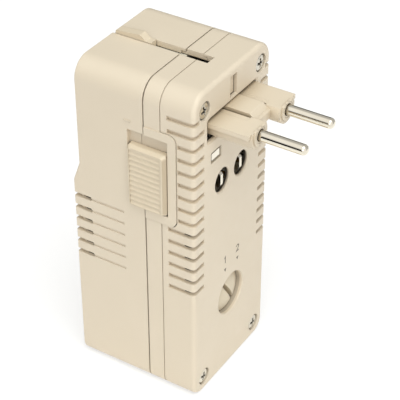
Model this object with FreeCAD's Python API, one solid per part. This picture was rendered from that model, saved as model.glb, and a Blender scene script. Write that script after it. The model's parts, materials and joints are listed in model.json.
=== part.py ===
import FreeCAD, Part
import math
import os

# Travel voltage converter: a hand-sized moulded housing in three shells, with retractable
# round-pin, three-pin and flat-blade plugs at the top, and a transformer, a control board and
# a two-position selector below them.
# Millimetres. X runs across, Y from the front face (minus) to the rear (plus), Z up from the base.

V = FreeCAD.Vector

# Housing
HOUSE_W = 50.9        # across X
HOUSE_H = 134.5       # up Z
HOUSE_D = 52.0        # front face to the deepest rear face
TOP_R = 7.5           # upper corners of the front outline
BASE_R = 5.5          # lower corners of the front outline
FACE_R = 1.6          # round between the front face and the sides
REAR_R = 0.5          # the same at the rear face
WALL = 2.2
FRONT_DEPTH = 13.8    # front cover, face to its parting line
BAND_DEPTH = 6.5      # middle frame band
PART_GAP = 0.5        # shadow gap between the band and the rear cover
SEAM_W = 0.3          # groove round the front cover's rear edge
SEAM_DEPTH = 0.35
LIP_T = 1.0           # alignment lips of the middle frame
LIP_L = 1.6
LIP_CLEAR = 0.15
REAR_STEP = 2.9       # the upper rear face lies this far in front of the lower one
STEP_LOW_DOWN = 50.5  # the step slopes between these distances below the top
STEP_HIGH_DOWN = 42.5
STEP_R = 2.5

# Case screws and their bosses
SCREW_SIDE_IN = 6.8   # in from the side
SCREW_TOP_IN = 7.5    # below the top
SCREW_BASE_IN = 6.6   # above the base
BOSS_R = 3.1
BOSS_RIB = 1.4        # thickness of the ribs that tie a boss to the walls
SCREW_R = 1.5
SCREW_HOLE_R = 1.7
HEAD_R = 3.0
HEAD_T = 1.1
SINK_R = 3.5
SINK_DEPTH = 1.7      # floor of the head's recess below the face
SCREW_REACH = 9.0     # how far the thread goes into the rear cover
CROSS_L = 3.6         # cross recess of the head
CROSS_W = 0.8
CROSS_DEPTH = 0.8

# Cooling grooves that wrap round the vertical corners
VENT_TOP_DOWN = 10.3  # first groove below the top
VENT_PITCH = 5.18
VENT_COUNT = 15
VENT_W = 1.8
VENT_DEPTH = 1.2
VENT_SLIT_W = 1.4
VENT_INNER_R = 2.0
SLIT_INNER_R = 1.0
VENT_FRONT_IN = 6.6   # reach along the front face from the side
VENT_FIRST_IN = 3.6   # the first groove stops short of the screw
VENT_SIDE_IN = 11.0   # reach along the side from the face
VENT_PANEL_GAP = 0.5  # beside the slider panel the grooves stop this far from it
SLIT_FROM = 9         # grooves from this one down are cut through
SLIT_SIDE_IN = 4.9
SLIT_FRONT_IN = 6.0
REAR_VENT_SIDE_IN = 7.5
REAR_LINE_IN = 22.0   # thin shallow line that carries each rear groove forward
REAR_LINE_DEPTH = 0.35
REAR_LINE_W = 0.9

# Slider panel of the middle frame, on the left side
PANEL_FRONT_IN = 7.3
PANEL_LOW_DOWN = 55.3    # below the top
PANEL_HIGH_DOWN = 16.9
PANEL_PROUD = 0.4
PANEL_R = 3.0
PANEL_GAP = 0.2
PAD_POCKET_FRONT_IN = 10.7
PAD_POCKET_BACK = 7.0   # behind the three-pin carriage's front
PAD_POCKET_DOWN = 51.5  # its lower end below the top
PAD_POCKET_DEPTH = 1.8
POCKET_FLOOR_T = 1.75

# Lock slider
LOCK_TRAVEL = 5.2
PAD_GAP = 0.3         # round the pad in its pocket
PAD_H = 25.5
PAD_PROUD = 1.8
PAD_SKIRT = 0.4       # height of the upright edge above the side
PAD_SLOPE_FRONT = 1.0
PAD_SLOPE_REAR = 0.8
PAD_SLOPE_ENDS = 0.7
PAD_R = 1.2
RIDGE_COUNT = 11
RIDGE_PITCH = 2.12
RIDGE_FIRST = 2.0     # first groove above the pad's lower end
RIDGE_R = 1.5
RIDGE_DEPTH = 0.42
RIDGE_BORDER = 1.0
SLIDE_GAP = 0.1
STEM_AHEAD = 2.4      # stem's front ahead of the three-pin carriage's front
STEM_L = 5.0
STEM_DOWN = 42.5      # its lower end below the top
STEM_H = 8.0
STEM_SLOT_GAP = 0.25
SPIGOT_R = 1.5
BAR_T = 1.0
BAR_FRONT_IN = 9.8
BAR_DOWN = 44.5       # its lower end below the top
LUG_W = 1.8
LUG_IN = 2.4
LUG_H = 4.4
LUG_UNDER = 0.4       # below the three-pin carriage when unlocked
LUG_CLEAR = 0.5       # beside the carriage when locked

# Two-round-pin plug (19 mm centres), drawn out at rest
EURO_DOWN = 16.42     # pins' axis below the top
EURO_HALF = 9.5
EURO_PIN_R = 2.0
EURO_PIN_L = 19.0
EURO_REACH = 15.5     # pins' root in front of the face
EURO_PLATE_HALF = 16.2
EURO_PLATE_UP = 2.52  # heights of the arm's faces from the pins' axis
EURO_PLATE_T = 1.7
EURO_BOSS_R = 5.3
EURO_LIP_R = 4.2
EURO_LIP_L = 1.0
EURO_LIP_RISE = 0.25  # lip above the arm's flat top
EURO_RING_R = 3.0
EURO_RING_DEPTH = 0.8
EURO_TONGUE_HALF = 4.6
EURO_TONGUE_UP = 3.37
EURO_TONGUE_T = 1.85
EURO_TONGUE_REACH = 10.6
EURO_NOSE_RISE = 1.4  # length of the tongue's sloped nose
EURO_NOSE_LEAD = 1.0  # lip of the nose ahead of its foot
EURO_NOSE_DROP = 0.4  # lip of the nose below the web's top
EURO_NOSE_R = 0.7
EURO_SLOT_W = 2.9
EURO_SLOT_REACH = 10.0
EURO_WEB_REACH = 12.4
EURO_WEB_UP = 1.52
EURO_WEB_DOWN = 1.88
EURO_WEB_R = 0.8
EURO_WEB_LAP = 2.0    # web and tail run this far into each arm
EURO_TAIL_IN = 8.0    # tail behind the front face when drawn out
EURO_EAR = 0.7
EURO_EAR_DOWN = 3.88
EURO_TIP_R = 1.6      # rounding of a pin's end
EURO_ROOT_R = 1.5     # pin's root, moulded into the arm
EURO_RAIL_GAP = 0.3
POCKET_HALF = 16.5
POCKET_DOWN = 5.58    # pocket's edges from the round pins' axis
POCKET_UP = 3.67
POCKET_R = 1.0
POCKET_BEVEL = 0.7    # bevel round the pocket's mouth

# Three-pin plug with rectangular pins, put away at rest
UK_DOWN = 12.88       # line and neutral pins below the round pins
UK_HALF = 11.1
UK_EARTH_UP = 22.2
UK_PIN_W = 6.35
UK_PIN_H = 4.0
UK_EARTH_W = 4.0
UK_EARTH_H = 8.0
UK_REST_GAP = 2.6     # between the carriage and the outlet block
UK_PIN_SUNK = 0.3
UK_EARTH_SUNK = 1.0
UK_HOLE_GAP = 0.25
UK_PIN_R = 0.3        # rounding of a pin's long edges
UK_TIP = 1.1          # length of a pin's tapered end
UK_TIP_IN = 0.6       # taper on each side
UK_EMBED = 5.4
UK_RING_D = 7.0
UK_RING_DOWN = 4.2    # below the line and neutral pins' axis
UK_SILL_DOWN = 6.38   # frame's edges from the round pins' axis
UK_HEAD_UP = 4.12
UK_RING_UP = 5.42
UK_LEG_IN = 17.2
UK_LEG_OUT = 20.2
UK_TOWER_HALF = 4.2
UK_TOWER_GAP = 2.6    # below the housing's top
UK_STRAP_T = 2.0
TAB_BACK = 12.3       # thumb tab, behind the carriage's front
TAB_L = 4.3           # its stem
TAB_TAIL_L = 15.0     # the whole tab with the tail in the shallow groove
TAB_STEM_HALF = 1.5
TAB_HALF = 1.7
TAB_STEP_L = 2.3      # low step at the tab's front
TAB_STEP_RISE = 0.4   # heights above the top face: step, ridge and tail
TAB_RISE = 2.25
TAB_TAIL_RISE = 1.3
TAB_RAMP = 2.2        # sloped front of the ridge
TAB_RAMP_R = 0.8
TAB_NOSE_R = 0.5
TAB_SUNK = 1.2        # stem's end in the carriage
TAB_SLOT_GAP = 0.4    # behind the tab in its slot
TOP_SLOT_HALF = 2.3
TOP_SLOT_REAR_HALF = 1.9
TOP_SLOT_FRONT_IN = 9.2
TOP_GROOVE_DEPTH = 1.0
STOP_GAP = 0.2

# Flat-blade plug with turning blades, put away at rest
US_DOWN = 13.6        # blades below the line and neutral pins
US_HALF = 6.5
US_HOLE_R = 4.8
US_HOLE_BEVEL = 0.5
US_LIP_T = 0.9        # thin lip round each opening
US_RELIEF_R = 5.2     # the wall is thinned behind the lip
US_REST_GAP = 2.9     # between the carriage and the outlet block
US_BLADE_W = 6.35
US_BLADE_T = 1.5
US_TIP_R = 1.6        # rounded corners of a blade's end
US_SUNK = 0.4
US_TURRET_R = 4.6
US_TURRET_L = 2.1
US_FLANGE_R = 5.5
US_FLANGE_T = 1.6
US_FLANGE_GAP = 0.15
US_NECK_R = 2.4
US_NECK_GAP = 0.08
US_CLIP_R = 3.6
US_CLIP_T = 0.7
US_TAIL_W = 3.0
US_BLOCK_HALF = 15.0
US_BLOCK_UP = 5.7     # half heights
US_BLOCK_R = 1.5
US_BLOCK_D = 6.9
US_ARM_UP = 2.0
US_ARM_T = 2.0
US_ARM_SIDE_GAP = 0.65
US_TAB_BACK = 20.4    # thumb tab behind the carriage's front
US_TAB_PROUD = 0.7
US_TAB_L = 5.6
US_TAB_LEAN = 0.6
US_TAB_R = 0.4
US_PEG_IN = 0.7       # the tab's peg is this much smaller all round
US_SLOT_GAP = 0.4

# Guide rods and chassis
ROD_R = 1.0
ROD_GAP = 0.08
ROD_SUNK = 1.1
LONG_ROD_X = 18.7
LONG_ROD_DOWN = 4.08   # below the round pins' axis
SHORT_ROD_X = 13.4
CHASSIS_BACK = 3.5     # its front face ahead of the inside of the rear wall
CHASSIS_T = 2.0
CHASSIS_SIDE_GAP = 2.25
CHASSIS_DOWN = 5.88    # its edges from the round pins' axis
CHASSIS_UP = 4.12
RAIL_HALF = 2.8
RAIL_DOWN = 5.58
ROD_LUG = 2.2         # half-width of the lugs that hold the short rods
ROD_LUG_L = 3.0
CHASSIS_SCREW_X = 14.2
CHASSIS_SCREW_DOWN = 0.88
SMALL_SCREW_R = 1.0
SMALL_HEAD_R = 2.0
SMALL_HEAD_T = 1.2
SMALL_HEAD_GAP = 0.2
SMALL_SLOT_W = 0.5
SMALL_BITE = 4.0      # thread of a small screw in its post
CHASSIS_BITE = 2.2    # the same where the post is short
POST_R = 2.4

# Contact strips
STRIP_T = 0.8
EURO_STRIP_IN = 8.0
EURO_STRIP_OUT = 11.0
EURO_STRIP_UP = 3.07  # above the round pins' axis
UK_STRIP_IN = 9.7
UK_STRIP_OUT = 12.5
UK_STRIP_DOWN = 5.6   # below the line and neutral pins' axis
US_STRIP_IN = 5.1
US_STRIP_OUT = 7.9
WIPER_T = 0.5
WIPER_GAP = 0.1
WIPER_HALF = 1.0

# Outlet at the rear
OUTLET_DOWN = 32.5    # outlet's middle below the top
OUTLET_BODY_HALF = 15.4
OUTLET_BODY_UP = 9.4
OUTLET_BODY_R = 1.5
OUTLET_FACE_HALF = 13.8
OUTLET_FACE_UP = 7.8
OUTLET_FACE_GAP = 0.2
OUTLET_FACE_R = 3.0
OUTLET_SUNK = 0.4
OUTLET_D = 19.1       # block's front to the upper rear face
BLADE_SLOT_X = 6.35
BLADE_SLOT_W = 2.2
BLADE_SLOT_H = 7.4
ROUND_HOLE_X = 9.5
ROUND_HOLE_R = 2.6
CAVITY_IN = 4.4
CAVITY_OUT = 13.0
CAVITY_UP = 4.2
CAVITY_WALL = 2.0
CAVITY_REAR_IN = 3.7  # in front of the upper rear face
CONTACT_T = 0.5
CONTACT_BEND_R = 0.4
CONTACT_SHORT = 1.0   # the leaves end this far before the outlet's face wall
OUTLET_EAR_HALF = 10.0
OUTLET_EAR_UP = 15.0
OUTLET_EAR_LAP = 1.0

# Divider between the plugs and the transformer
DIVIDER_DOWN = 52.3   # its lower face below the top
DIVIDER_T = 1.0
DIVIDER_SIDE_GAP = 1.65
DIVIDER_GAP = 0.2
DIVIDER_R = 1.0
LEDGE_T = 1.0
LEDGE_W = 2.45
LEDGE_FRONT_IN = 21.5  # from the rear face
LEDGE_REAR_IN = 6.0

# Transformer
CORE_SIDE_GAP = 2.25
CORE_TOP_GAP = 3.7       # below the divider
CORE_STACK = 16.0
CORE_LIMB = 7.0
CORE_LOW_Z = 43.5
CORE_FRONT_IN = 26.5     # from the rear face
CORE_SCREW_IN = 3.5
BOBBIN_GAP = 0.1
BOBBIN_WALL = 0.9
BOBBIN_FLANGE = 0.9
BOBBIN_DEPTH_OUT = 6.2   # flanges stand this far in front of and behind the stack
BOBBIN_R = 2.0
WINDING_IN = 0.6         # windings lie this far inside the flanges
WINDING_R = 3.0
CUTOUT_R = 2.0
CUTOUT_L = 11.0

# Control board and what it carries
BOARD_IN = 14.0        # from the rear face
BOARD_T = 1.6
BOARD_SIDE_GAP = 1.75  # to the side walls
BOARD_LOW = 4.5
BOARD_HIGH = 41.0
BOARD_R = 2.0
BOARD_SCREW_IN = 3.7
BOARD_SCREW_LOW = 14.5
BOARD_SCREW_HIGH = 37.5
SINK_X = -7.5
SINK_T = 2.0
SINK_FIN_L = 6.0
SINK_FIN_T = 1.2
SINK_FIN_PITCH = 4.2
SINK_FINS = 5
SINK_FRONT_OFF = 16.0   # in front of the board
SINK_LOW = 16.0
SINK_FIN_GAP = 1.0     # between the fins and the board
TRIAC_W = 10.0
TRIAC_T = 4.4
TRIAC_H = 15.0
TRIAC_FRONT_OFF = 12.0
TRIAC_LOW = 18.0
TRIAC_LEG_W = 0.9
TRIAC_LEG_PITCH = 2.54
TRIAC_LEG_DROP = 2.0   # middle leg's bend below the package
TRIAC_LEG_STEP = 1.5   # each leg bends this much above the one in front
CAP_X = 5.0
CAP_W = 8.0
CAP_L = 18.0
CAP_D = 12.0
CAP_LOW = 7.0
CAP_R = 0.8
CAP_EDGE_R = 0.6
CHOKE_X = 10.0
CHOKE_Z = 32.4
CHOKE_R = 5.6
CHOKE_BORE_R = 2.4
CHOKE_EDGE_R = 1.2
CHOKE_D = 6.0
FUSE_X = -17.0
FUSE_LOW = 11.0
FUSE_R = 2.5
FUSE_L = 20.0
FUSE_CAP_L = 5.0
FUSE_OFF = 3.6         # fuse's axis in front of the board
CLIP_T = 0.5
CLIP_MOUTH_HALF = 1.75

# Selector
KNOB_X = 0.5
KNOB_Z = 34.9
KNOB_HOLE_R = 8.8
KNOB_R = 8.6
KNOB_SUNK = 2.9        # knob's rim below the face
KNOB_RISE = 2.2        # middle of the dome above the rim
KNOB_RIM_T = 1.9
KNOB_FLANGE_R = 10.2
KNOB_FLANGE_T = 1.4
KNOB_SLOT_W = 1.8
KNOB_SLOT_DEPTH = 1.2  # floor of the coin slot below the rim
KNOB_TURN = 32.0       # each side of upright
KNOB_NECK_R = 6.4
KNOB_HOLE_BEVEL = 0.4
COLLAR_R = 10.6
COLLAR_GAP = 0.1
SHAFT_R = 3.0
SHAFT_FLAT = 2.1       # flat of the shaft from its axis
SHAFT_GAP = 0.08
ROTOR_R = 8.0
ROTOR_T = 2.0
ROTOR_FRONT_IN = 7.7
NOTCH_R = 0.9          # detent notches in the rotor's rim
ROTOR_CONTACT_T = 0.6
ROTOR_CONTACT_W = 2.4
ROTOR_CONTACT_RIM = 1.4
SWITCH_HALF = 10.5
SWITCH_R = 1.5
SWITCH_T = 3.0
SWITCH_FRONT_IN = 10.8
SWITCH_LEG = 3.0
SWITCH_SWING_GAP = 1.0
SWITCH_PAD_T = 0.4
SWITCH_PAD_R = 1.4
SWITCH_PAD_OUT = 5.6
TERMINAL_L = 3.2

# Insulated leads
LEAD_R = 0.8
LEAD_BEND = 4.0
SUPPLY_IN = 12.0       # behind the front face
SUPPLY_LEFT_X = -12.0
SUPPLY_LEFT_Z = 37.5   # height where each turns back
SUPPLY_RIGHT_X = 17.0
SUPPLY_RIGHT_Z = 22.0

# Places worked out from the sizes above
Y_FACE = -HOUSE_D / 2
Y_INSIDE = Y_FACE + WALL
Y_BAND = Y_FACE + FRONT_DEPTH
Y_BAND_REAR = Y_BAND + BAND_DEPTH
Y_SHELL = Y_BAND_REAR + PART_GAP
Y_REAR = Y_FACE + HOUSE_D
Y_UPPER = Y_REAR - REAR_STEP
Y_UPPER_IN = Y_UPPER - WALL
X_SIDE = HOUSE_W / 2
X_SIDE_IN = X_SIDE - WALL
SCREW_X = X_SIDE - SCREW_SIDE_IN
BOARD_HALF = X_SIDE_IN - BOARD_SIDE_GAP
BOARD_SCREW_X = BOARD_HALF - BOARD_SCREW_IN
DIVIDER_HALF = X_SIDE_IN - DIVIDER_SIDE_GAP
LEDGE_IN = X_SIDE_IN - LEDGE_W
CORE_W = 2 * (X_SIDE_IN - CORE_SIDE_GAP)
CHASSIS_HALF = X_SIDE_IN - CHASSIS_SIDE_GAP
US_ARM_OUT = X_SIDE_IN - US_ARM_SIDE_GAP
SCREW_TOP_Z = HOUSE_H - SCREW_TOP_IN
SCREW_SPOTS = [(sx * SCREW_X, z) for z in (SCREW_TOP_Z, SCREW_BASE_IN) for sx in (-1, 1)]
X_POCKET = -X_SIDE + PAD_POCKET_DEPTH
X_POCKET_IN = X_POCKET + POCKET_FLOOR_T
STEP_LOW_Z = HOUSE_H - STEP_LOW_DOWN
STEP_HIGH_Z = HOUSE_H - STEP_HIGH_DOWN
VENT_TOP_Z = HOUSE_H - VENT_TOP_DOWN
PANEL_LOW_Z = HOUSE_H - PANEL_LOW_DOWN
PANEL_HIGH_Z = HOUSE_H - PANEL_HIGH_DOWN
PAD_POCKET_LOW_Z = HOUSE_H - PAD_POCKET_DOWN
PAD_POCKET_HIGH_Z = PAD_POCKET_LOW_Z + PAD_H + LOCK_TRAVEL + 2 * PAD_GAP
STEM_LOW_Z = HOUSE_H - STEM_DOWN
BAR_LOW_Z = HOUSE_H - BAR_DOWN
EURO_Z = HOUSE_H - EURO_DOWN
EURO_PLATE_TOP = EURO_Z + EURO_PLATE_UP
EURO_TONGUE_TOP = EURO_Z + EURO_TONGUE_UP
EURO_WEB_TOP = EURO_Z + EURO_WEB_UP
EURO_WEB_LOW = EURO_Z - EURO_WEB_DOWN
EURO_EAR_LOW = EURO_Z - EURO_EAR_DOWN
POCKET_LOW_Z = EURO_Z - POCKET_DOWN
POCKET_HIGH_Z = EURO_Z + POCKET_UP
UK_Z = EURO_Z - UK_DOWN
UK_RING_LOW = UK_Z - UK_RING_DOWN
UK_RING_SILL = EURO_Z - UK_SILL_DOWN
UK_RING_HEAD = EURO_Z + UK_HEAD_UP
UK_RING_TOP = EURO_Z + UK_RING_UP
UK_TOWER_TOP = HOUSE_H - UK_TOWER_GAP
US_Z = UK_Z - US_DOWN
US_BLOCK_LOW = US_Z - US_BLOCK_UP
US_BLOCK_HIGH = US_Z + US_BLOCK_UP
US_ARM_LOW = US_Z - US_ARM_UP
US_ARM_HIGH = US_Z + US_ARM_UP
LONG_ROD_Z = EURO_Z - LONG_ROD_DOWN
CHASSIS_LOW = EURO_Z - CHASSIS_DOWN
CHASSIS_HIGH = EURO_Z + CHASSIS_UP
RAIL_LOW = EURO_Z - RAIL_DOWN
CHASSIS_SCREW_Z = EURO_Z - CHASSIS_SCREW_DOWN
EURO_STRIP_LOW = EURO_Z + EURO_STRIP_UP
UK_STRIP_LOW = UK_Z - UK_STRIP_DOWN
OUTLET_Z = HOUSE_H - OUTLET_DOWN
OUTLET_EAR_TOP = OUTLET_Z + OUTLET_EAR_UP
DIVIDER_LOW = HOUSE_H - DIVIDER_DOWN
CORE_H = DIVIDER_LOW - CORE_TOP_GAP - CORE_LOW_Z
OUTLET_FRONT_Y = Y_UPPER - OUTLET_D
CAVITY_FRONT_Y = OUTLET_FRONT_Y + CAVITY_WALL
CAVITY_REAR_Y = Y_UPPER - CAVITY_REAR_IN
Y_UK = OUTLET_FRONT_Y - UK_REST_GAP - UK_RING_D
Y_US = OUTLET_FRONT_Y - US_REST_GAP - US_BLOCK_D
UK_TRAVEL = Y_UK - STOP_GAP - Y_INSIDE
US_TRAVEL = Y_US - STOP_GAP - Y_INSIDE
Y_TAB = Y_UK + TAB_BACK
US_TAB_FRONT_Y = Y_US + US_TAB_BACK
PAD_POCKET_REAR_Y = Y_UK + PAD_POCKET_BACK
STEM_FRONT_Y = Y_UK - STEM_AHEAD
STEM_REAR_Y = STEM_FRONT_Y + STEM_L
BAR_FRONT_Y = Y_FACE + BAR_FRONT_IN
LEDGE_FRONT_Y = Y_REAR - LEDGE_FRONT_IN
LEDGE_REAR_Y = Y_REAR - LEDGE_REAR_IN
CORE_FRONT_Y = Y_REAR - CORE_FRONT_IN
BOARD_Y = Y_REAR - BOARD_IN
SINK_FRONT_Y = BOARD_Y - SINK_FRONT_OFF
TRIAC_FRONT_Y = BOARD_Y - TRIAC_FRONT_OFF
ROTOR_FRONT_Y = Y_FACE + ROTOR_FRONT_IN
SWITCH_FRONT_Y = Y_FACE + SWITCH_FRONT_IN
SUPPLY_Y = Y_FACE + SUPPLY_IN
SUPPLY_LEADS = {-1: (SUPPLY_LEFT_X, SUPPLY_LEFT_Z), 1: (SUPPLY_RIGHT_X, SUPPLY_RIGHT_Z)}
Y_EURO_ROOT = Y_FACE - EURO_REACH
Y_EURO_TAIL = Y_FACE + EURO_TAIL_IN
Y_EURO_SHOULDER = Y_EURO_ROOT - EURO_LIP_L + EURO_RING_DEPTH
CHASSIS_Y = Y_UPPER_IN - CHASSIS_BACK
RAIL_HIGH = EURO_Z - EURO_WEB_DOWN - EURO_RAIL_GAP


def box(x0, x1, y0, y1, z0, z1):
    return Part.makeBox(x1 - x0, y1 - y0, z1 - z0, V(x0, y0, z0))


def rod(x, z, r, y0, y1):
    """Cylinder along Y."""
    return Part.makeCylinder(r, y1 - y0, V(x, y0, z), V(0, 1, 0))


def cone(x, z, r0, r1, y0, y1):
    return Part.makeCone(r0, r1, y1 - y0, V(x, y0, z), V(0, 1, 0))


def loop(corners, place):
    """Closed wire through corners (u, v, radius), each rounded by its radius."""
    ends = []
    for i, (u, v, r) in enumerate(corners):
        here = V(u, v, 0)
        back = V(*corners[i - 1][:2], 0) - here
        ahead = V(*corners[(i + 1) % len(corners)][:2], 0) - here
        back.normalize()
        ahead.normalize()
        if r <= 0:
            ends.append((here, None, here))
            continue
        half = back.getAngle(ahead) / 2
        inward = back + ahead
        inward.normalize()
        run = r / math.tan(half)
        middle = here + inward * (r / math.sin(half) - r)
        ends.append((here + back * run, middle, here + ahead * run))
    edges = []
    for i, (start, middle, end) in enumerate(ends):
        if middle is not None:
            edges.append(Part.Arc(place(start), place(middle), place(end)).toShape())
        following = ends[(i + 1) % len(ends)][0]
        if (following - end).Length > 1e-6:
            edges.append(Part.LineSegment(place(end), place(following)).toShape())
    return Part.Wire(edges)


def prism_y(corners, y0, y1):
    """Solid from an outline in X and Z."""
    wire = loop(corners, lambda p: V(p.x, y0, p.y))
    return Part.Face(wire).extrude(V(0, y1 - y0, 0))


def prism_z(corners, z0, z1):
    """Solid from an outline in X and Y."""
    wire = loop(corners, lambda p: V(p.x, p.y, z0))
    return Part.Face(wire).extrude(V(0, 0, z1 - z0))


def prism_x(corners, x0, x1):
    """Solid from an outline in Y and Z."""
    wire = loop(corners, lambda p: V(x0, p.x, p.y))
    return Part.Face(wire).extrude(V(x1 - x0, 0, 0))


def rect(u0, u1, v0, v1, r=0.0):
    return [(u0, v0, r), (u1, v0, r), (u1, v1, r), (u0, v1, r)]


def join(first, *rest):
    return first.multiFuse(list(rest)).removeSplitter()


def mirrored(shape):
    return shape.mirror(V(0, 0, 0), V(1, 0, 0))


def front_edges(shape):
    """Edges that lie in the shape's foremost plane."""
    return [e for e in shape.Edges if e.BoundBox.YMax < shape.BoundBox.YMin + 0.01]


def both(shape):
    """The shape and its twin across the middle plane, as a group of solids."""
    return Part.makeCompound([shape, mirrored(shape)])


def outline(inset):
    """Front outline of the housing, moved in by inset."""
    half = X_SIDE - inset
    low = inset
    high = HOUSE_H - inset
    top_r = TOP_R - inset
    base_r = BASE_R - inset
    return [(-half, low, base_r), (half, low, base_r), (half, high, top_r), (-half, high, top_r)]


def side_profile(inset):
    """Side outline of the rear cover in Y and Z, with the step of the rear face, moved in by inset."""
    far = HOUSE_H + WALL
    return [(Y_SHELL - WALL, -WALL, 0), (Y_REAR - inset, -WALL, 0),
            (Y_REAR - inset, STEP_LOW_Z, STEP_R), (Y_UPPER - inset, STEP_HIGH_Z, STEP_R),
            (Y_UPPER - inset, far, 0), (Y_SHELL - WALL, far, 0)]


def corner_groove(z, depth, inner_r, width, front_in, side_in):
    """Cutter for a groove round the left front corner."""
    out = VENT_DEPTH
    x_end = -X_SIDE + front_in
    y_end = Y_FACE + side_in
    shape = [(-X_SIDE - out, y_end, 0), (-X_SIDE - out, Y_FACE - out, 0), (x_end, Y_FACE - out, 0),
             (x_end, Y_FACE + depth, 0), (-X_SIDE + depth, Y_FACE + depth, inner_r),
             (-X_SIDE + depth, y_end, 0)]
    return prism_z(shape, z - width / 2, z + width / 2)


def vent_height(k):
    return VENT_TOP_Z - k * VENT_PITCH


def front_vents(beside_panel):
    """Cutters for one front corner; beside the slider panel the grooves are shorter."""
    cutters = []
    for k in range(VENT_COUNT):
        z = vent_height(k)
        front_in = VENT_FRONT_IN if k else VENT_FIRST_IN
        side_in = VENT_SIDE_IN
        if beside_panel and PANEL_LOW_Z < z < PANEL_HIGH_Z:
            side_in = PANEL_FRONT_IN - VENT_PANEL_GAP
        cutters.append(corner_groove(z, VENT_DEPTH, VENT_INNER_R, VENT_W, front_in, side_in))
        if k >= SLIT_FROM:
            cutters.append(corner_groove(z, WALL + VENT_DEPTH, SLIT_INNER_R, VENT_SLIT_W, SLIT_FRONT_IN,
                                         SLIT_SIDE_IN))
    return cutters


def rear_vents():
    """Cutters for the left rear corner, each with the thin line that runs forward from it."""
    cutters = []
    for k in range(SLIT_FROM, VENT_COUNT):
        z = vent_height(k)
        x_end = -X_SIDE + VENT_FRONT_IN
        shape = [(-X_SIDE - VENT_DEPTH, Y_REAR - REAR_VENT_SIDE_IN, 0),
                 (-X_SIDE + VENT_DEPTH, Y_REAR - REAR_VENT_SIDE_IN, 0),
                 (-X_SIDE + VENT_DEPTH, Y_REAR - VENT_DEPTH, VENT_INNER_R),
                 (x_end, Y_REAR - VENT_DEPTH, 0), (x_end, Y_REAR + VENT_DEPTH, 0),
                 (-X_SIDE - VENT_DEPTH, Y_REAR + VENT_DEPTH, 0)]
        cutters.append(prism_z(shape, z - VENT_W / 2, z + VENT_W / 2))
        cutters.append(box(-X_SIDE - VENT_DEPTH, -X_SIDE + WALL + VENT_DEPTH, Y_REAR - REAR_VENT_SIDE_IN,
                           Y_REAR - WALL - VENT_DEPTH, z - VENT_SLIT_W / 2, z + VENT_SLIT_W / 2))
        cutters.append(box(-X_SIDE - VENT_DEPTH, -X_SIDE + REAR_LINE_DEPTH, Y_REAR - REAR_LINE_IN,
                           Y_REAR - REAR_VENT_SIDE_IN, z - REAR_LINE_W / 2, z + REAR_LINE_W / 2))
    return cutters


def lip_seat(y0, y1):
    """Ring that clears a lip of the middle frame."""
    ring = prism_y(outline(WALL - LIP_T - LIP_CLEAR), y0, y1)
    return ring.cut(prism_y(outline(WALL + LIP_CLEAR), y0 - WALL, y1 + WALL))


def boss_with_ribs(x, z, y0, y1):
    """Screw boss tied to the side wall and to the nearer end wall by two ribs."""
    side = math.copysign(X_SIDE - WALL, x)
    x0, x1 = sorted((x, side))
    half = BOSS_RIB / 2
    end = HOUSE_H - WALL if z > HOUSE_H / 2 else WALL
    z0, z1 = sorted((z, end))
    return [rod(x, z, BOSS_R, y0, y1), box(x0, x1, y0, y1, z - half, z + half),
            box(x - half, x + half, y0, y1, z0, z1)]


def top_slot(half, y0, y1, floor_z):
    return box(-half, half, y0, y1, floor_z, HOUSE_H + WALL)


def pad_pocket():
    return box(-X_SIDE - WALL, X_POCKET, Y_FACE + PAD_POCKET_FRONT_IN, PAD_POCKET_REAR_Y,
               PAD_POCKET_LOW_Z, PAD_POCKET_HIGH_Z)


def stem_slot():
    return box(X_POCKET - WALL, X_POCKET_IN + WALL, STEM_FRONT_Y - STEM_SLOT_GAP,
               STEM_REAR_Y + STEM_SLOT_GAP, STEM_LOW_Z - STEM_SLOT_GAP, STEM_LOW_Z + STEM_H + LOCK_TRAVEL + STEM_SLOT_GAP)


def panel_outline(gap):
    front = Y_FACE + PANEL_FRONT_IN - gap
    low = PANEL_LOW_Z - gap
    high = PANEL_HIGH_Z + gap
    return [(front, low, PANEL_R), (Y_BAND + WALL, low, 0), (Y_BAND + WALL, high, 0), (front, high, PANEL_R)]


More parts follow.
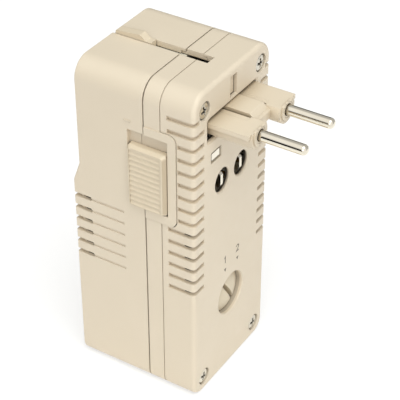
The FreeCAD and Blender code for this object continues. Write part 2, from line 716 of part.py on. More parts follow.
def front_cover():
    outer = prism_y(outline(0), Y_FACE, Y_BAND)
    outer = outer.makeFillet(FACE_R, front_edges(outer))
    cover = outer.cut(prism_y(outline(WALL), Y_INSIDE, Y_BAND + WALL))
    bosses = []
    for x, z in SCREW_SPOTS:
        bosses += boss_with_ribs(x, z, Y_INSIDE, Y_BAND)
    collar = rod(KNOB_X, KNOB_Z, COLLAR_R, Y_INSIDE, Y_FACE + KNOB_SUNK + KNOB_RIM_T)
    cover = join(cover, collar, *bosses)
    cuts = [prism_x(panel_outline(PANEL_GAP), -X_SIDE - WALL, X_POCKET_IN)]
    cuts.append(lip_seat(Y_BAND - LIP_L - LIP_CLEAR, Y_BAND + WALL))
    cuts.append(seam_groove())
    for x, z in SCREW_SPOTS:
        cuts.append(rod(x, z, SINK_R, Y_FACE - WALL, Y_FACE + SINK_DEPTH))
        cuts.append(rod(x, z, SCREW_HOLE_R, Y_FACE, Y_BAND + WALL))
    cuts += plug_pocket()
    for sx in (-1, 1):
        cuts.append(uk_bore(sx * UK_HALF, UK_Z, UK_PIN_W, UK_PIN_H))
        cuts.append(rod(sx * US_HALF, US_Z, US_HOLE_R, Y_FACE - WALL, Y_INSIDE + WALL))
        cuts.append(mouth_bevel(sx * US_HALF, US_Z, US_HOLE_R, US_HOLE_BEVEL))
        cuts.append(rod(sx * US_HALF, US_Z, US_RELIEF_R, Y_FACE + US_LIP_T, Y_INSIDE + WALL))
        cuts.append(rod(sx * LONG_ROD_X, LONG_ROD_Z, ROD_R + ROD_GAP, Y_INSIDE - ROD_SUNK, Y_INSIDE + WALL))
        cuts.append(rod(sx * SHORT_ROD_X, US_Z, ROD_R + ROD_GAP, Y_INSIDE - ROD_SUNK, Y_INSIDE + WALL))
    cuts.append(uk_bore(0, UK_Z + UK_EARTH_UP, UK_EARTH_W, UK_EARTH_H))
    cuts.append(rod(KNOB_X, KNOB_Z, KNOB_HOLE_R, Y_FACE - WALL, Y_BAND))
    cuts.append(mouth_bevel(KNOB_X, KNOB_Z, KNOB_HOLE_R, KNOB_HOLE_BEVEL))
    cuts.append(top_slot(TOP_SLOT_HALF, Y_FACE + TOP_SLOT_FRONT_IN, Y_BAND + WALL, HOUSE_H - 2 * WALL))
    cuts += front_vents(True)
    cuts += [mirrored(c) for c in front_vents(False)]
    return cover.cut(Part.makeCompound(cuts))


def seam_groove():
    """Ring that sinks the front cover's rear edge below the band."""
    ring = prism_y(outline(-WALL), Y_BAND - SEAM_W, Y_BAND + WALL)
    return ring.cut(prism_y(outline(SEAM_DEPTH), Y_BAND - WALL, Y_BAND + 2 * WALL))


def mouth_bevel(x, z, r, bevel):
    """Cutter for the bevelled mouth of a round hole in the face."""
    return cone(x, z, r + 2 * bevel, r, Y_FACE - bevel, Y_FACE + bevel)


def plug_pocket():
    """Cutters for the round-pin plug's pocket and its bevelled mouth."""
    sides = (-POCKET_HALF, POCKET_HALF, POCKET_LOW_Z, POCKET_HIGH_Z)
    grow = (-2 * POCKET_BEVEL, 2 * POCKET_BEVEL, -2 * POCKET_BEVEL, 2 * POCKET_BEVEL)
    wide = rect(*[s + g for s, g in zip(sides, grow)], POCKET_R)
    mouth = Part.makeLoft([loop(wide, lambda p: V(p.x, Y_FACE - POCKET_BEVEL, p.y)),
                           loop(rect(*sides, POCKET_R), lambda p: V(p.x, Y_FACE + POCKET_BEVEL, p.y))],
                          True, True)
    return [mouth, prism_y(rect(*sides, POCKET_R), Y_FACE - WALL, Y_INSIDE + WALL)]


def uk_bore(x, z, w, h):
    gap = UK_HOLE_GAP
    return prism_y(rect(x - w / 2 - gap, x + w / 2 + gap, z - h / 2 - gap, z + h / 2 + gap, gap),
                   Y_FACE - WALL, Y_INSIDE + WALL)


def middle_frame():
    band = prism_y(outline(0), Y_BAND, Y_BAND_REAR)
    band = band.cut(prism_y(outline(WALL), Y_BAND - WALL, Y_BAND_REAR + WALL))
    lips = prism_y(outline(WALL - LIP_T), Y_BAND - LIP_L, Y_SHELL + LIP_L)
    lips = lips.cut(prism_y(outline(WALL), Y_BAND - WALL, Y_SHELL + WALL))
    panel = prism_x(panel_outline(0), -X_SIDE - PANEL_PROUD, -X_SIDE + WALL)
    panel = panel.cut(box(-X_SIDE - WALL, 0, Y_BAND_REAR, Y_REAR, 0, HOUSE_H))
    backing = box(-X_SIDE + WALL - LIP_T, X_POCKET_IN, Y_FACE + PANEL_FRONT_IN + PANEL_R,
                  Y_BAND_REAR, PANEL_LOW_Z + PANEL_R, PANEL_HIGH_Z - PANEL_GAP)
    proud = box(-X_SIDE - PANEL_PROUD, -X_SIDE, Y_BAND, Y_BAND_REAR, PANEL_LOW_Z, PANEL_HIGH_Z)
    eyes = []
    for x, z in SCREW_SPOTS:
        eyes += boss_with_ribs(x, z, Y_BAND, Y_BAND_REAR)
    frame = join(band, lips, panel, backing, proud, *eyes)
    cuts = [rod(x, z, SCREW_HOLE_R, Y_BAND - WALL, Y_SHELL + WALL) for x, z in SCREW_SPOTS]
    cuts.append(pad_pocket())
    cuts.append(stem_slot())
    cuts.append(top_slot(TOP_SLOT_HALF, Y_FACE, Y_REAR, HOUSE_H - 2 * WALL))
    return frame.cut(Part.makeCompound(cuts))


def rear_cover():
    outer = prism_y(outline(0), Y_SHELL, Y_REAR).common(prism_x(side_profile(0), -HOUSE_W, HOUSE_W))
    rear_edges = [e for e in outer.Edges if e.BoundBox.YMin > Y_UPPER - 0.01]
    rear_edges = [e for e in rear_edges if abs(e.CenterOfMass.x) < X_SIDE + 0.01
                  and not (e.BoundBox.XLength > HOUSE_W / 2 and STEP_LOW_Z - STEP_R < e.BoundBox.ZMin
                           and e.BoundBox.ZMax < STEP_HIGH_Z + STEP_R)]
    outer = outer.makeFillet(REAR_R, rear_edges)
    inner = prism_y(outline(WALL), Y_SHELL - WALL, Y_REAR - WALL)
    inner = inner.common(prism_x(side_profile(WALL), -HOUSE_W, HOUSE_W))
    cover = outer.cut(inner)
    backing = box(-X_SIDE + WALL - LIP_T, X_POCKET_IN, Y_SHELL, PAD_POCKET_REAR_Y + WALL,
                  PANEL_LOW_Z + PANEL_R, PANEL_HIGH_Z - PANEL_GAP)
    adds = [backing]
    for x, z in SCREW_SPOTS:
        adds += boss_with_ribs(x, z, Y_SHELL, Y_UPPER_IN if z > HOUSE_H / 2 else Y_REAR - WALL)
    adds += [rod(x, z, POST_R, CHASSIS_Y + CHASSIS_T, Y_UPPER_IN) for x, z in chassis_screw_spots()]
    for sx in (-1, 1):
        x0, x1 = sorted((sx * LEDGE_IN, sx * (X_SIDE - WALL)))
        adds.append(box(x0, x1, LEDGE_FRONT_Y, LEDGE_REAR_Y, DIVIDER_LOW - LEDGE_T, DIVIDER_LOW))
    adds += [rod(x, z, POST_R, CORE_FRONT_Y + CORE_STACK, Y_REAR - WALL) for x, z in core_screw_spots()]
    adds += [rod(x, z, POST_R, BOARD_Y + BOARD_T, Y_REAR - WALL) for x, z in board_screw_spots()]
    cover = join(cover, *adds)
    cuts = [rod(x, z, SCREW_R, Y_SHELL - WALL, Y_SHELL + SCREW_REACH + STOP_GAP) for x, z in SCREW_SPOTS]
    cuts.append(lip_seat(Y_SHELL - WALL, Y_SHELL + LIP_L + LIP_CLEAR))
    cuts += post_bores(chassis_screw_spots(), CHASSIS_Y + CHASSIS_T, CHASSIS_BITE)
    cuts += post_bores(board_screw_spots(), BOARD_Y + BOARD_T, SMALL_BITE)
    cuts += post_bores(core_screw_spots(), CORE_FRONT_Y + CORE_STACK, SMALL_BITE)
    cuts.append(pad_pocket())
    cuts.append(stem_slot())
    slot_end = Y_TAB + TAB_L + TAB_SLOT_GAP
    cuts.append(top_slot(TOP_SLOT_REAR_HALF, Y_SHELL - WALL, slot_end, HOUSE_H - 2 * WALL))
    cuts.append(top_slot(TOP_SLOT_REAR_HALF, slot_end - WALL, Y_REAR, HOUSE_H - TOP_GROOVE_DEPTH))
    tab_low = US_TAB_FRONT_Y - US_TRAVEL - US_SLOT_GAP
    tab_high = US_TAB_FRONT_Y + US_TAB_L + US_SLOT_GAP
    cuts.append(box(X_SIDE - 2 * WALL, X_SIDE + WALL, tab_low, tab_high, US_ARM_LOW - US_SLOT_GAP,
                    US_ARM_HIGH + US_SLOT_GAP))
    gap = OUTLET_FACE_GAP
    cuts.append(prism_y(rect(-OUTLET_FACE_HALF - gap, OUTLET_FACE_HALF + gap, OUTLET_Z - OUTLET_FACE_UP - gap,
                             OUTLET_Z + OUTLET_FACE_UP + gap, OUTLET_FACE_R), Y_UPPER_IN - WALL / 2, Y_REAR))
    cuts += rear_vents()
    cuts += [mirrored(c) for c in rear_vents()]
    return cover.cut(Part.makeCompound(cuts))


def post_bores(spots, y, bite):
    """Pilot holes for small screws in posts that end at y."""
    return [rod(x, z, SMALL_SCREW_R, y - SMALL_HEAD_T, y + bite + STOP_GAP) for x, z in spots]


def chassis_screw_spots():
    return [(sx * CHASSIS_SCREW_X, CHASSIS_SCREW_Z) for sx in (-1, 1)]


def core_screw_spots():
    across = CORE_W / 2 - CORE_SCREW_IN
    return [(sx * across, z) for z in (CORE_LOW_Z + CORE_SCREW_IN, CORE_LOW_Z + CORE_H - CORE_SCREW_IN)
            for sx in (-1, 1)]


def board_screw_spots():
    return [(-BOARD_SCREW_X, BOARD_SCREW_HIGH), (BOARD_SCREW_X, BOARD_SCREW_HIGH),
            (BOARD_SCREW_X, BOARD_SCREW_LOW)]


def screw(x, z, y_under, length, shank_r, head_r, head_t, tip):
    """Screw that points to the rear; y_under is the underside of its head."""
    head = rod(x, z, head_r, y_under - head_t, y_under)
    shank = rod(x, z, shank_r, y_under, y_under + length - tip)
    point = cone(x, z, shank_r, shank_r / 2, y_under + length - tip, y_under + length)
    return join(head, shank, point)


def cross_recess(x, z, y0, size, width, depth):
    return join(box(x - size / 2, x + size / 2, y0 - depth, y0 + depth, z - width / 2, z + width / 2),
                box(x - width / 2, x + width / 2, y0 - depth, y0 + depth, z - size / 2, z + size / 2))


def case_screws():
    seat = Y_FACE + SINK_DEPTH
    length = Y_SHELL + SCREW_REACH - seat
    made = []
    for x, z in SCREW_SPOTS:
        one = screw(x, z, seat, length, SCREW_R, HEAD_R, HEAD_T, SCREW_R)
        made.append(one.cut(cross_recess(x, z, seat - HEAD_T, CROSS_L, CROSS_W, CROSS_DEPTH)))
    return Part.makeCompound(made)


def small_screws(spots, seat, length):
    made = []
    for x, z in spots:
        one = screw(x, z, seat, length, SMALL_SCREW_R, SMALL_HEAD_R, SMALL_HEAD_T, SMALL_SCREW_R)
        slot = box(x - SMALL_HEAD_R, x + SMALL_HEAD_R, seat - SMALL_HEAD_T * 2, seat - SMALL_HEAD_T / 2,
                   z - SMALL_SLOT_W / 2, z + SMALL_SLOT_W / 2)
        made.append(one.cut(slot))
    return Part.makeCompound(made)


def lock_pad():
    front = Y_FACE + PAD_POCKET_FRONT_IN + PAD_GAP
    rear = PAD_POCKET_REAR_Y - PAD_GAP
    low = PAD_POCKET_LOW_Z + PAD_GAP
    high = low + PAD_H
    x_foot = X_POCKET - SLIDE_GAP
    x_edge = -X_SIDE - PAD_SKIRT
    x_top = -X_SIDE - PAD_PROUD
    skirt = prism_x(rect(front, rear, low, high, PAD_R), x_edge, x_foot)
    wide = loop(rect(front, rear, low, high, PAD_R), lambda p: V(x_edge, p.x, p.y))
    narrow = loop(rect(front + PAD_SLOPE_FRONT, rear - PAD_SLOPE_REAR, low + PAD_SLOPE_ENDS,
                       high - PAD_SLOPE_ENDS, PAD_R), lambda p: V(x_top, p.x, p.y))
    crown = Part.makeLoft([wide, narrow], True, True)
    stem = box(x_foot, X_POCKET_IN + SLIDE_GAP, STEM_FRONT_Y, STEM_REAR_Y, STEM_LOW_Z, STEM_LOW_Z + STEM_H)
    peg = spigot(X_POCKET_IN, SLIDE_GAP + BAR_T)
    pad = join(skirt, crown, stem, peg)
    grooves = []
    for k in range(RIDGE_COUNT):
        z = low + RIDGE_FIRST + k * RIDGE_PITCH
        grooves.append(rod(x_top - RIDGE_R + RIDGE_DEPTH, z, RIDGE_R, front + PAD_SLOPE_FRONT + RIDGE_BORDER,
                           rear - PAD_SLOPE_REAR - RIDGE_BORDER / 2))
    return pad.cut(Part.makeCompound(grooves))


def spigot(x, length):
    """Round peg of the pad's stem."""
    middle = V(x, (STEM_FRONT_Y + STEM_REAR_Y) / 2, STEM_LOW_Z + STEM_H / 2)
    return Part.makeCylinder(SPIGOT_R, length, middle, V(1, 0, 0))


def lock_bar():
    x0 = X_POCKET_IN + SLIDE_GAP
    x1 = x0 + BAR_T
    top = UK_RING_LOW - LUG_UNDER
    plate = prism_x(rect(BAR_FRONT_Y, STEM_REAR_Y, BAR_LOW_Z, top, PAD_R), x0, x1)
    shut_y = Y_UK - LUG_CLEAR - LUG_W
    out_y = Y_UK - UK_TRAVEL + UK_RING_D + LUG_CLEAR
    lugs = [box(x0, x1 + LUG_IN, y, y + LUG_W, top - LUG_H, top) for y in (shut_y, out_y)]
    bar = join(plate, *lugs)
    return bar.cut(spigot(x0 - BAR_T, BAR_T * 3))


def euro_carriage():
    """Moulded plug block: two round-bellied arms, a middle tongue between two slots, and a tail."""
    front = Y_EURO_ROOT
    inner = EURO_TONGUE_HALF + EURO_SLOT_W
    arm = box(-EURO_PLATE_HALF, -inner, front, Y_EURO_TAIL, EURO_PLATE_TOP - EURO_PLATE_T, EURO_PLATE_TOP)
    belly = rod(-EURO_HALF, EURO_Z, EURO_BOSS_R, front - EURO_LIP_L / 2, Y_EURO_TAIL)
    belly = belly.common(box(-EURO_PLATE_HALF, 0, front - WALL, Y_EURO_TAIL, 0, EURO_PLATE_TOP))
    lip = rod(-EURO_HALF, EURO_Z, EURO_LIP_R, front - EURO_LIP_L, front + EURO_LIP_L)
    lip = lip.common(box(-EURO_PLATE_HALF, 0, front - WALL, front, 0, EURO_PLATE_TOP + EURO_LIP_RISE))
    ear = box(-EURO_PLATE_HALF - EURO_EAR, -EURO_PLATE_HALF, Y_INSIDE + STOP_GAP, Y_EURO_TAIL,
              EURO_EAR_LOW, EURO_PLATE_TOP)
    ear_web = box(-EURO_PLATE_HALF, -EURO_HALF - EURO_PIN_R, Y_INSIDE + STOP_GAP, Y_EURO_TAIL,
                  EURO_EAR_LOW, EURO_PLATE_TOP)
    side = join(arm, belly, lip, ear, ear_web)
    y_web = Y_FACE - EURO_WEB_REACH
    y_slot = Y_FACE - EURO_SLOT_REACH
    lap = inner + EURO_WEB_LAP
    web = prism_x([(y_web, EURO_WEB_LOW, 0), (y_slot, EURO_WEB_LOW, 0), (y_slot, EURO_WEB_TOP, 0),
                   (y_web, EURO_WEB_TOP, EURO_WEB_R)], -lap, lap)
    y_nose = Y_FACE - EURO_TONGUE_REACH
    under = EURO_TONGUE_TOP - EURO_TONGUE_T
    foot = EURO_WEB_TOP - EURO_NOSE_DROP
    tongue = prism_x([(y_slot, foot, 0), (y_slot, under, 0), (Y_EURO_TAIL, under, 0),
                      (Y_EURO_TAIL, EURO_TONGUE_TOP, 0),
                      (y_nose + EURO_NOSE_RISE, EURO_TONGUE_TOP, EURO_NOSE_R),
                      (y_nose - EURO_NOSE_LEAD, foot, 0)],
                     -EURO_TONGUE_HALF, EURO_TONGUE_HALF)
    tail = box(-lap, lap, Y_FACE + WALL, Y_EURO_TAIL, EURO_WEB_LOW, EURO_PLATE_TOP)
    block = join(side, mirrored(side), web, tongue, tail)
    cuts = []
    for sx in (-1, 1):
        x = sx * EURO_HALF
        cuts.append(rod(x, EURO_Z, EURO_RING_R, front - EURO_LIP_L - WALL, Y_EURO_SHOULDER))
        cuts.append(rod(x, EURO_Z, EURO_ROOT_R, front - WALL, Y_EURO_TAIL + WALL))
        x0, x1 = sorted((sx * EURO_TONGUE_HALF, sx * inner))
        cuts.append(box(x0, x1, y_slot, Y_FACE + WALL, EURO_WEB_LOW - WALL, EURO_TONGUE_TOP + WALL))
    return block.cut(Part.makeCompound(cuts))


def euro_pin(sx):
    """Solid pin with a rounded end; its thinner root is moulded into the arm."""
    x = sx * EURO_HALF
    shank = rod(x, EURO_Z, EURO_PIN_R, Y_EURO_ROOT - EURO_PIN_L, Y_EURO_SHOULDER)
    shank = shank.makeFillet(EURO_TIP_R, front_edges(shank))
    return join(shank, rod(x, EURO_Z, EURO_ROOT_R, Y_EURO_SHOULDER, Y_EURO_TAIL))


def euro_wiper(sx):
    x = sx * EURO_HALF
    y = Y_EURO_TAIL
    top = EURO_STRIP_LOW - WIPER_GAP
    return box(x - WIPER_HALF, x + WIPER_HALF, y, y + WIPER_T, EURO_Z - EURO_PIN_R, top)


def strip_pair(x_in, x_out, low, y1):
    return both(box(-x_out, -x_in, Y_INSIDE, y1, low, low + STRIP_T))


def uk_carriage():
    """Moulded frame: a bar with the pins below the round-pin plug, legs beside it, a bridge above."""
    y0 = Y_UK
    y1 = Y_UK + UK_RING_D
    ring = box(-UK_LEG_OUT, UK_LEG_OUT, y0, y1, UK_RING_LOW, UK_RING_TOP)
    window = box(-UK_LEG_IN, UK_LEG_IN, y0 - WALL, y1 + WALL, UK_RING_SILL, UK_RING_HEAD)
    tower = box(-UK_TOWER_HALF, UK_TOWER_HALF, y0, y1, UK_RING_HEAD, UK_TOWER_TOP)
    strap = box(-UK_TOWER_HALF, UK_TOWER_HALF, y0, Y_TAB + TAB_L, UK_TOWER_TOP - UK_STRAP_T, UK_TOWER_TOP)
    frame = join(ring.cut(window), tower, strap)
    cuts = [rod(sx * LONG_ROD_X, LONG_ROD_Z, ROD_R + ROD_GAP, y0 - WALL, y1 + WALL) for sx in (-1, 1)]
    for sx in (-1, 1):
        cuts.append(pin_body(sx * UK_HALF, UK_Z, UK_PIN_W, UK_PIN_H, y0 - WALL, y0 + UK_EMBED, 0))
    cuts.append(pin_body(0, UK_Z + UK_EARTH_UP, UK_EARTH_W, UK_EARTH_H, y0 - WALL, y0 + UK_EMBED, 0))
    cuts.append(box(-TAB_STEM_HALF, TAB_STEM_HALF, Y_TAB, Y_TAB + TAB_L - TAB_SUNK, UK_TOWER_TOP - TAB_SUNK,
                    HOUSE_H))
    bar_low = UK_Z - UK_PIN_H / 2
    for sx in (-1, 1):
        x = sx * UK_HALF
        cuts.append(box(x - WIPER_HALF, x + WIPER_HALF, y0 + UK_EMBED, y1 + WALL, bar_low,
                        bar_low + UK_PIN_H))
    return frame.cut(Part.makeCompound(cuts))


def pin_body(x, z, w, h, y0, y1, tip):
    """Rectangular pin along Y; tip is the length of its tapered end."""
    full = rect(x - w / 2, x + w / 2, z - h / 2, z + h / 2, UK_PIN_R)
    shank = prism_y(full, y0 + tip, y1)
    if tip <= 0:
        return shank
    wide = loop(full, lambda p: V(p.x, y0 + tip, p.y))
    narrow = rect(x - w / 2 + UK_TIP_IN, x + w / 2 - UK_TIP_IN, z - h / 2 + UK_TIP_IN,
                  z + h / 2 - UK_TIP_IN, UK_PIN_R)
    small = loop(narrow, lambda p: V(p.x, y0, p.y))
    return join(shank, Part.makeLoft([small, wide], True, True))


def uk_pin(sx):
    """Line or neutral pin with the leaf that wipes its contact strip."""
    x = sx * UK_HALF
    pin = pin_body(x, UK_Z, UK_PIN_W, UK_PIN_H, Y_FACE + UK_PIN_SUNK, Y_UK + UK_EMBED, UK_TIP)
    y1 = Y_UK + UK_RING_D
    low = UK_Z - UK_PIN_H / 2
    tail = box(x - WIPER_HALF, x + WIPER_HALF, Y_UK + UK_EMBED, y1 + WIPER_T, low, low + UK_PIN_H)
    leaf = box(x - WIPER_HALF, x + WIPER_HALF, y1, y1 + WIPER_T, UK_STRIP_LOW + STRIP_T + WIPER_GAP, low)
    return join(pin, tail, leaf)


def uk_earth_pin():
    return pin_body(0, UK_Z + UK_EARTH_UP, UK_EARTH_W, UK_EARTH_H, Y_FACE + UK_EARTH_SUNK,
                    Y_UK + UK_EMBED, UK_TIP)


def uk_thumb_tab():
    """Thumb tab that rides in the top slot: low step, sloped ridge, and a tail in the groove behind."""
    y0 = Y_TAB
    y1 = Y_TAB + TAB_TAIL_L
    y_step = y0 + TAB_STEP_L
    low = HOUSE_H - TOP_GROOVE_DEPTH + SLIDE_GAP
    head = prism_x([(y0, low, 0), (y1, low, 0), (y1, HOUSE_H + TAB_TAIL_RISE, TAB_NOSE_R),
                    (y_step + TAB_RAMP, HOUSE_H + TAB_RISE, TAB_RAMP_R),
                    (y_step, HOUSE_H + TAB_STEP_RISE, TAB_RAMP_R), (y0, HOUSE_H + TAB_STEP_RISE, 0)],
                   -TAB_HALF, TAB_HALF)
    stem = box(-TAB_STEM_HALF, TAB_STEM_HALF, y0, y0 + TAB_L - TAB_SUNK, UK_TOWER_TOP - TAB_SUNK, low)
    return join(head, stem)


def us_spot(sx):
    return sx * US_HALF, US_Z


def us_carriage():
    y0 = Y_US
    y1 = Y_US + US_BLOCK_D
    block = prism_y(rect(-US_BLOCK_HALF, US_BLOCK_HALF, US_BLOCK_LOW, US_BLOCK_HIGH, US_BLOCK_R), y0, y1)
    arm_in = US_ARM_OUT - US_ARM_T
    root = box(SHORT_ROD_X, US_ARM_OUT, y1 - US_ARM_T * 2, y1, US_ARM_LOW, US_ARM_HIGH)
    arm = box(arm_in, US_ARM_OUT, y1 - US_ARM_T * 2, US_TAB_FRONT_Y + US_TAB_L, US_ARM_LOW, US_ARM_HIGH)
    carriage = join(block, root, arm)
    cuts = []
    for sx in (-1, 1):
        x, z = us_spot(sx)
        cuts.append(rod(x, z, US_FLANGE_R + US_FLANGE_GAP, y0 - WALL, y0 + US_FLANGE_T + US_FLANGE_GAP))
        cuts.append(rod(x, z, US_NECK_R + US_NECK_GAP, y0, y1 + WALL))
        cuts.append(rod(sx * SHORT_ROD_X, US_Z, ROD_R + ROD_GAP, y0 - WALL, y1 + WALL))
    cuts.append(us_tab_peg(arm_in - WALL, X_SIDE))
    return carriage.cut(Part.makeCompound(cuts))


def us_tab_peg(x0, x1):
    return box(x0, x1, US_TAB_FRONT_Y + US_PEG_IN, US_TAB_FRONT_Y + US_TAB_L - US_PEG_IN,
               US_ARM_LOW + US_PEG_IN, US_ARM_HIGH - US_PEG_IN)


def us_thumb_tab():
    """Thumb tab that rides in the right-hand slot, pegged into the carriage's arm."""
    y0 = US_TAB_FRONT_Y
    y1 = US_TAB_FRONT_Y + US_TAB_L
    z0 = US_ARM_LOW
    z1 = US_ARM_HIGH
    x_top = X_SIDE + US_TAB_PROUD
    head = prism_z([(US_ARM_OUT, y0, 0), (x_top, y0 + US_TAB_LEAN, US_TAB_R),
                    (x_top, y1 - US_TAB_LEAN, US_TAB_R), (US_ARM_OUT, y1, 0)], z0, z1)
    return join(head, us_tab_peg(US_ARM_OUT - US_ARM_T, US_ARM_OUT))


def us_wipers():
    """Leaves behind the blades' tails that reach down to their strips."""
    y1 = Y_US + US_BLOCK_D
    y_leaf = y1 + US_CLIP_T + STOP_GAP * 2
    low = DIVIDER_LOW + DIVIDER_T + STRIP_T + WIPER_GAP
    x0 = -US_HALF - WIPER_HALF
    x1 = -US_HALF + WIPER_HALF
    leaf = box(x0, x1, y_leaf, y_leaf + WIPER_T, low, US_Z + US_TAIL_W / 2)
    foot = box(x0, x1, y1, y_leaf, US_BLOCK_LOW, US_BLOCK_LOW + WIPER_T * 2)
    return both(join(leaf, foot))


def us_rotor(sx):
    x, z = us_spot(sx)
    y0 = Y_US
    y1 = Y_US + US_BLOCK_D
    turret = rod(x, z, US_TURRET_R, y0 - US_TURRET_L, y0)
    flange = rod(x, z, US_FLANGE_R, y0, y0 + US_FLANGE_T)
    neck = rod(x, z, US_NECK_R, y0 + US_FLANGE_T, y1 + US_CLIP_T)
    clip = rod(x, z, US_CLIP_R, y1 + SLIDE_GAP / 2, y1 + US_CLIP_T)
    return join(turret, flange, neck, clip).cut(us_blade(sx))


def us_blade(sx):
    x, z = us_spot(sx)
    tip = Y_FACE + US_SUNK
    root = Y_US + US_FLANGE_T
    half = US_BLADE_W / 2
    flat = prism_x([(tip, z - half, US_TIP_R), (root, z - half, 0), (root, z + half, 0),
                    (tip, z + half, US_TIP_R)], x - US_BLADE_T / 2, x + US_BLADE_T / 2)
    tail = box(x - US_BLADE_T / 2, x + US_BLADE_T / 2, root, Y_US + US_BLOCK_D + US_CLIP_T + STOP_GAP,
               z - US_TAIL_W / 2, z + US_TAIL_W / 2)
    return join(flat, tail)


def guide_rods():
    start = Y_INSIDE - ROD_SUNK + STOP_GAP / 2
    made = []
    for sx in (-1, 1):
        made.append(rod(sx * LONG_ROD_X, LONG_ROD_Z, ROD_R, start, CHASSIS_Y + CHASSIS_T))
        made.append(rod(sx * SHORT_ROD_X, US_Z, ROD_R, start, OUTLET_FRONT_Y + ROD_SUNK))
    return Part.makeCompound(made)


def plug_chassis():
    plate = box(-CHASSIS_HALF, CHASSIS_HALF, CHASSIS_Y, CHASSIS_Y + CHASSIS_T, CHASSIS_LOW, CHASSIS_HIGH)
    rail = box(-RAIL_HALF, RAIL_HALF, Y_INSIDE, CHASSIS_Y, RAIL_LOW, RAIL_HIGH)
    frame = join(plate, rail)
    y1 = CHASSIS_Y + CHASSIS_T + WALL
    cuts = [rod(sx * LONG_ROD_X, LONG_ROD_Z, ROD_R + ROD_GAP, CHASSIS_Y - WALL, y1) for sx in (-1, 1)]
    for x, z in chassis_screw_spots():
        cuts.append(rod(x, z, SMALL_SCREW_R, CHASSIS_Y - WALL, y1))
        cuts.append(rod(x, z, SMALL_HEAD_R + SMALL_HEAD_GAP, CHASSIS_Y - WALL, CHASSIS_Y + SMALL_HEAD_T))
    return frame.cut(Part.makeCompound(cuts))


def outlet_opening(sx, y0, y1):
    """Blade slot merged with a round hole."""
    slot = box(sx * BLADE_SLOT_X - BLADE_SLOT_W / 2, sx * BLADE_SLOT_X + BLADE_SLOT_W / 2, y0, y1,
               OUTLET_Z - BLADE_SLOT_H / 2, OUTLET_Z + BLADE_SLOT_H / 2)
    x0, x1 = sorted((sx * BLADE_SLOT_X, sx * ROUND_HOLE_X))
    neck = box(x0, x1, y0, y1, OUTLET_Z - BLADE_SLOT_W / 2, OUTLET_Z + BLADE_SLOT_W / 2)
    return join(slot, neck, rod(sx * ROUND_HOLE_X, OUTLET_Z, ROUND_HOLE_R, y0, y1))


def outlet_block():
    low = OUTLET_Z - OUTLET_BODY_UP
    high = OUTLET_Z + OUTLET_BODY_UP
    body = prism_y(rect(-OUTLET_BODY_HALF, OUTLET_BODY_HALF, low, high, OUTLET_BODY_R), OUTLET_FRONT_Y,
                   Y_UPPER_IN)
    face = prism_y(rect(-OUTLET_FACE_HALF, OUTLET_FACE_HALF, OUTLET_Z - OUTLET_FACE_UP,
                        OUTLET_Z + OUTLET_FACE_UP, OUTLET_FACE_R), Y_UPPER_IN, Y_UPPER - OUTLET_SUNK)
    ear = box(-OUTLET_EAR_HALF, OUTLET_EAR_HALF, CHASSIS_Y + CHASSIS_T, Y_UPPER_IN, high - OUTLET_EAR_LAP,
              OUTLET_EAR_TOP)
    lugs = [box(sx * SHORT_ROD_X - ROD_LUG, sx * SHORT_ROD_X + ROD_LUG, OUTLET_FRONT_Y,
                OUTLET_FRONT_Y + ROD_LUG_L, US_Z - ROD_LUG, low + ROD_LUG) for sx in (-1, 1)]
    block = join(body, face, ear, *lugs)
    cuts = []
    for sx in (-1, 1):
        cuts.append(outlet_opening(sx, CAVITY_REAR_Y - WALL, Y_REAR))
        x0, x1 = sorted((sx * CAVITY_IN, sx * CAVITY_OUT))
        cuts.append(box(x0, x1, CAVITY_FRONT_Y, CAVITY_REAR_Y, OUTLET_Z - CAVITY_UP, OUTLET_Z + CAVITY_UP))
        cuts.append(rod(sx * SHORT_ROD_X, US_Z, ROD_R + ROD_GAP, OUTLET_FRONT_Y - WALL,
                        OUTLET_FRONT_Y + ROD_SUNK + STOP_GAP))
    return block.cut(Part.makeCompound(cuts))


def outlet_contact(sx):
    """Folded spring contact: two leaves joined across the bottom of the cavity."""
    x0, x1 = sorted((sx * CAVITY_IN, sx * CAVITY_OUT))
    up = CAVITY_UP - CONTACT_T
    y_bend = CAVITY_FRONT_Y + CONTACT_T
    y_end = CAVITY_REAR_Y - CONTACT_SHORT
    shape = [(x0, CAVITY_FRONT_Y, 0), (x1, CAVITY_FRONT_Y, 0), (x1, y_end, 0), (x1 - CONTACT_T, y_end, 0),
             (x1 - CONTACT_T, y_bend, CONTACT_BEND_R), (x0 + CONTACT_T, y_bend, CONTACT_BEND_R),
             (x0 + CONTACT_T, y_end, 0), (x0, y_end, 0)]
    return prism_z(shape, OUTLET_Z - up, OUTLET_Z + up)


def divider_plate():
    high = DIVIDER_LOW + DIVIDER_T
    rear = Y_REAR - WALL - DIVIDER_GAP
    return prism_z(rect(-DIVIDER_HALF, DIVIDER_HALF, Y_INSIDE, rear, DIVIDER_R), DIVIDER_LOW, high)


def core_stack(part):
    """E-shaped or I-shaped stack of laminations."""
    y0 = CORE_FRONT_Y
    y1 = y0 + CORE_STACK
    half = CORE_W / 2
    high = CORE_LOW_Z + CORE_H
    yoke_low = high - CORE_LIMB
    if part == "i":
        stack = box(-half, half, y0, y1, yoke_low, high)
    else:
        stack = box(-half, half, y0, y1, CORE_LOW_Z, yoke_low)
        for sx in (-1, 1):
            x0, x1 = sorted((sx * CORE_LIMB, sx * (half - CORE_LIMB)))
            stack = stack.cut(box(x0, x1, y0 - WALL, y1 + WALL, CORE_LOW_Z + CORE_LIMB, yoke_low))
    holes = [rod(x, z, SMALL_SCREW_R, y0 - WALL, y1 + WALL) for x, z in core_screw_spots()]
    return stack.cut(Part.makeCompound(holes))


def bobbin_levels():
    low = CORE_LOW_Z + CORE_LIMB + BOBBIN_GAP
    high = CORE_LOW_Z + CORE_H - CORE_LIMB - BOBBIN_GAP
    return low, (low + high) / 2, high


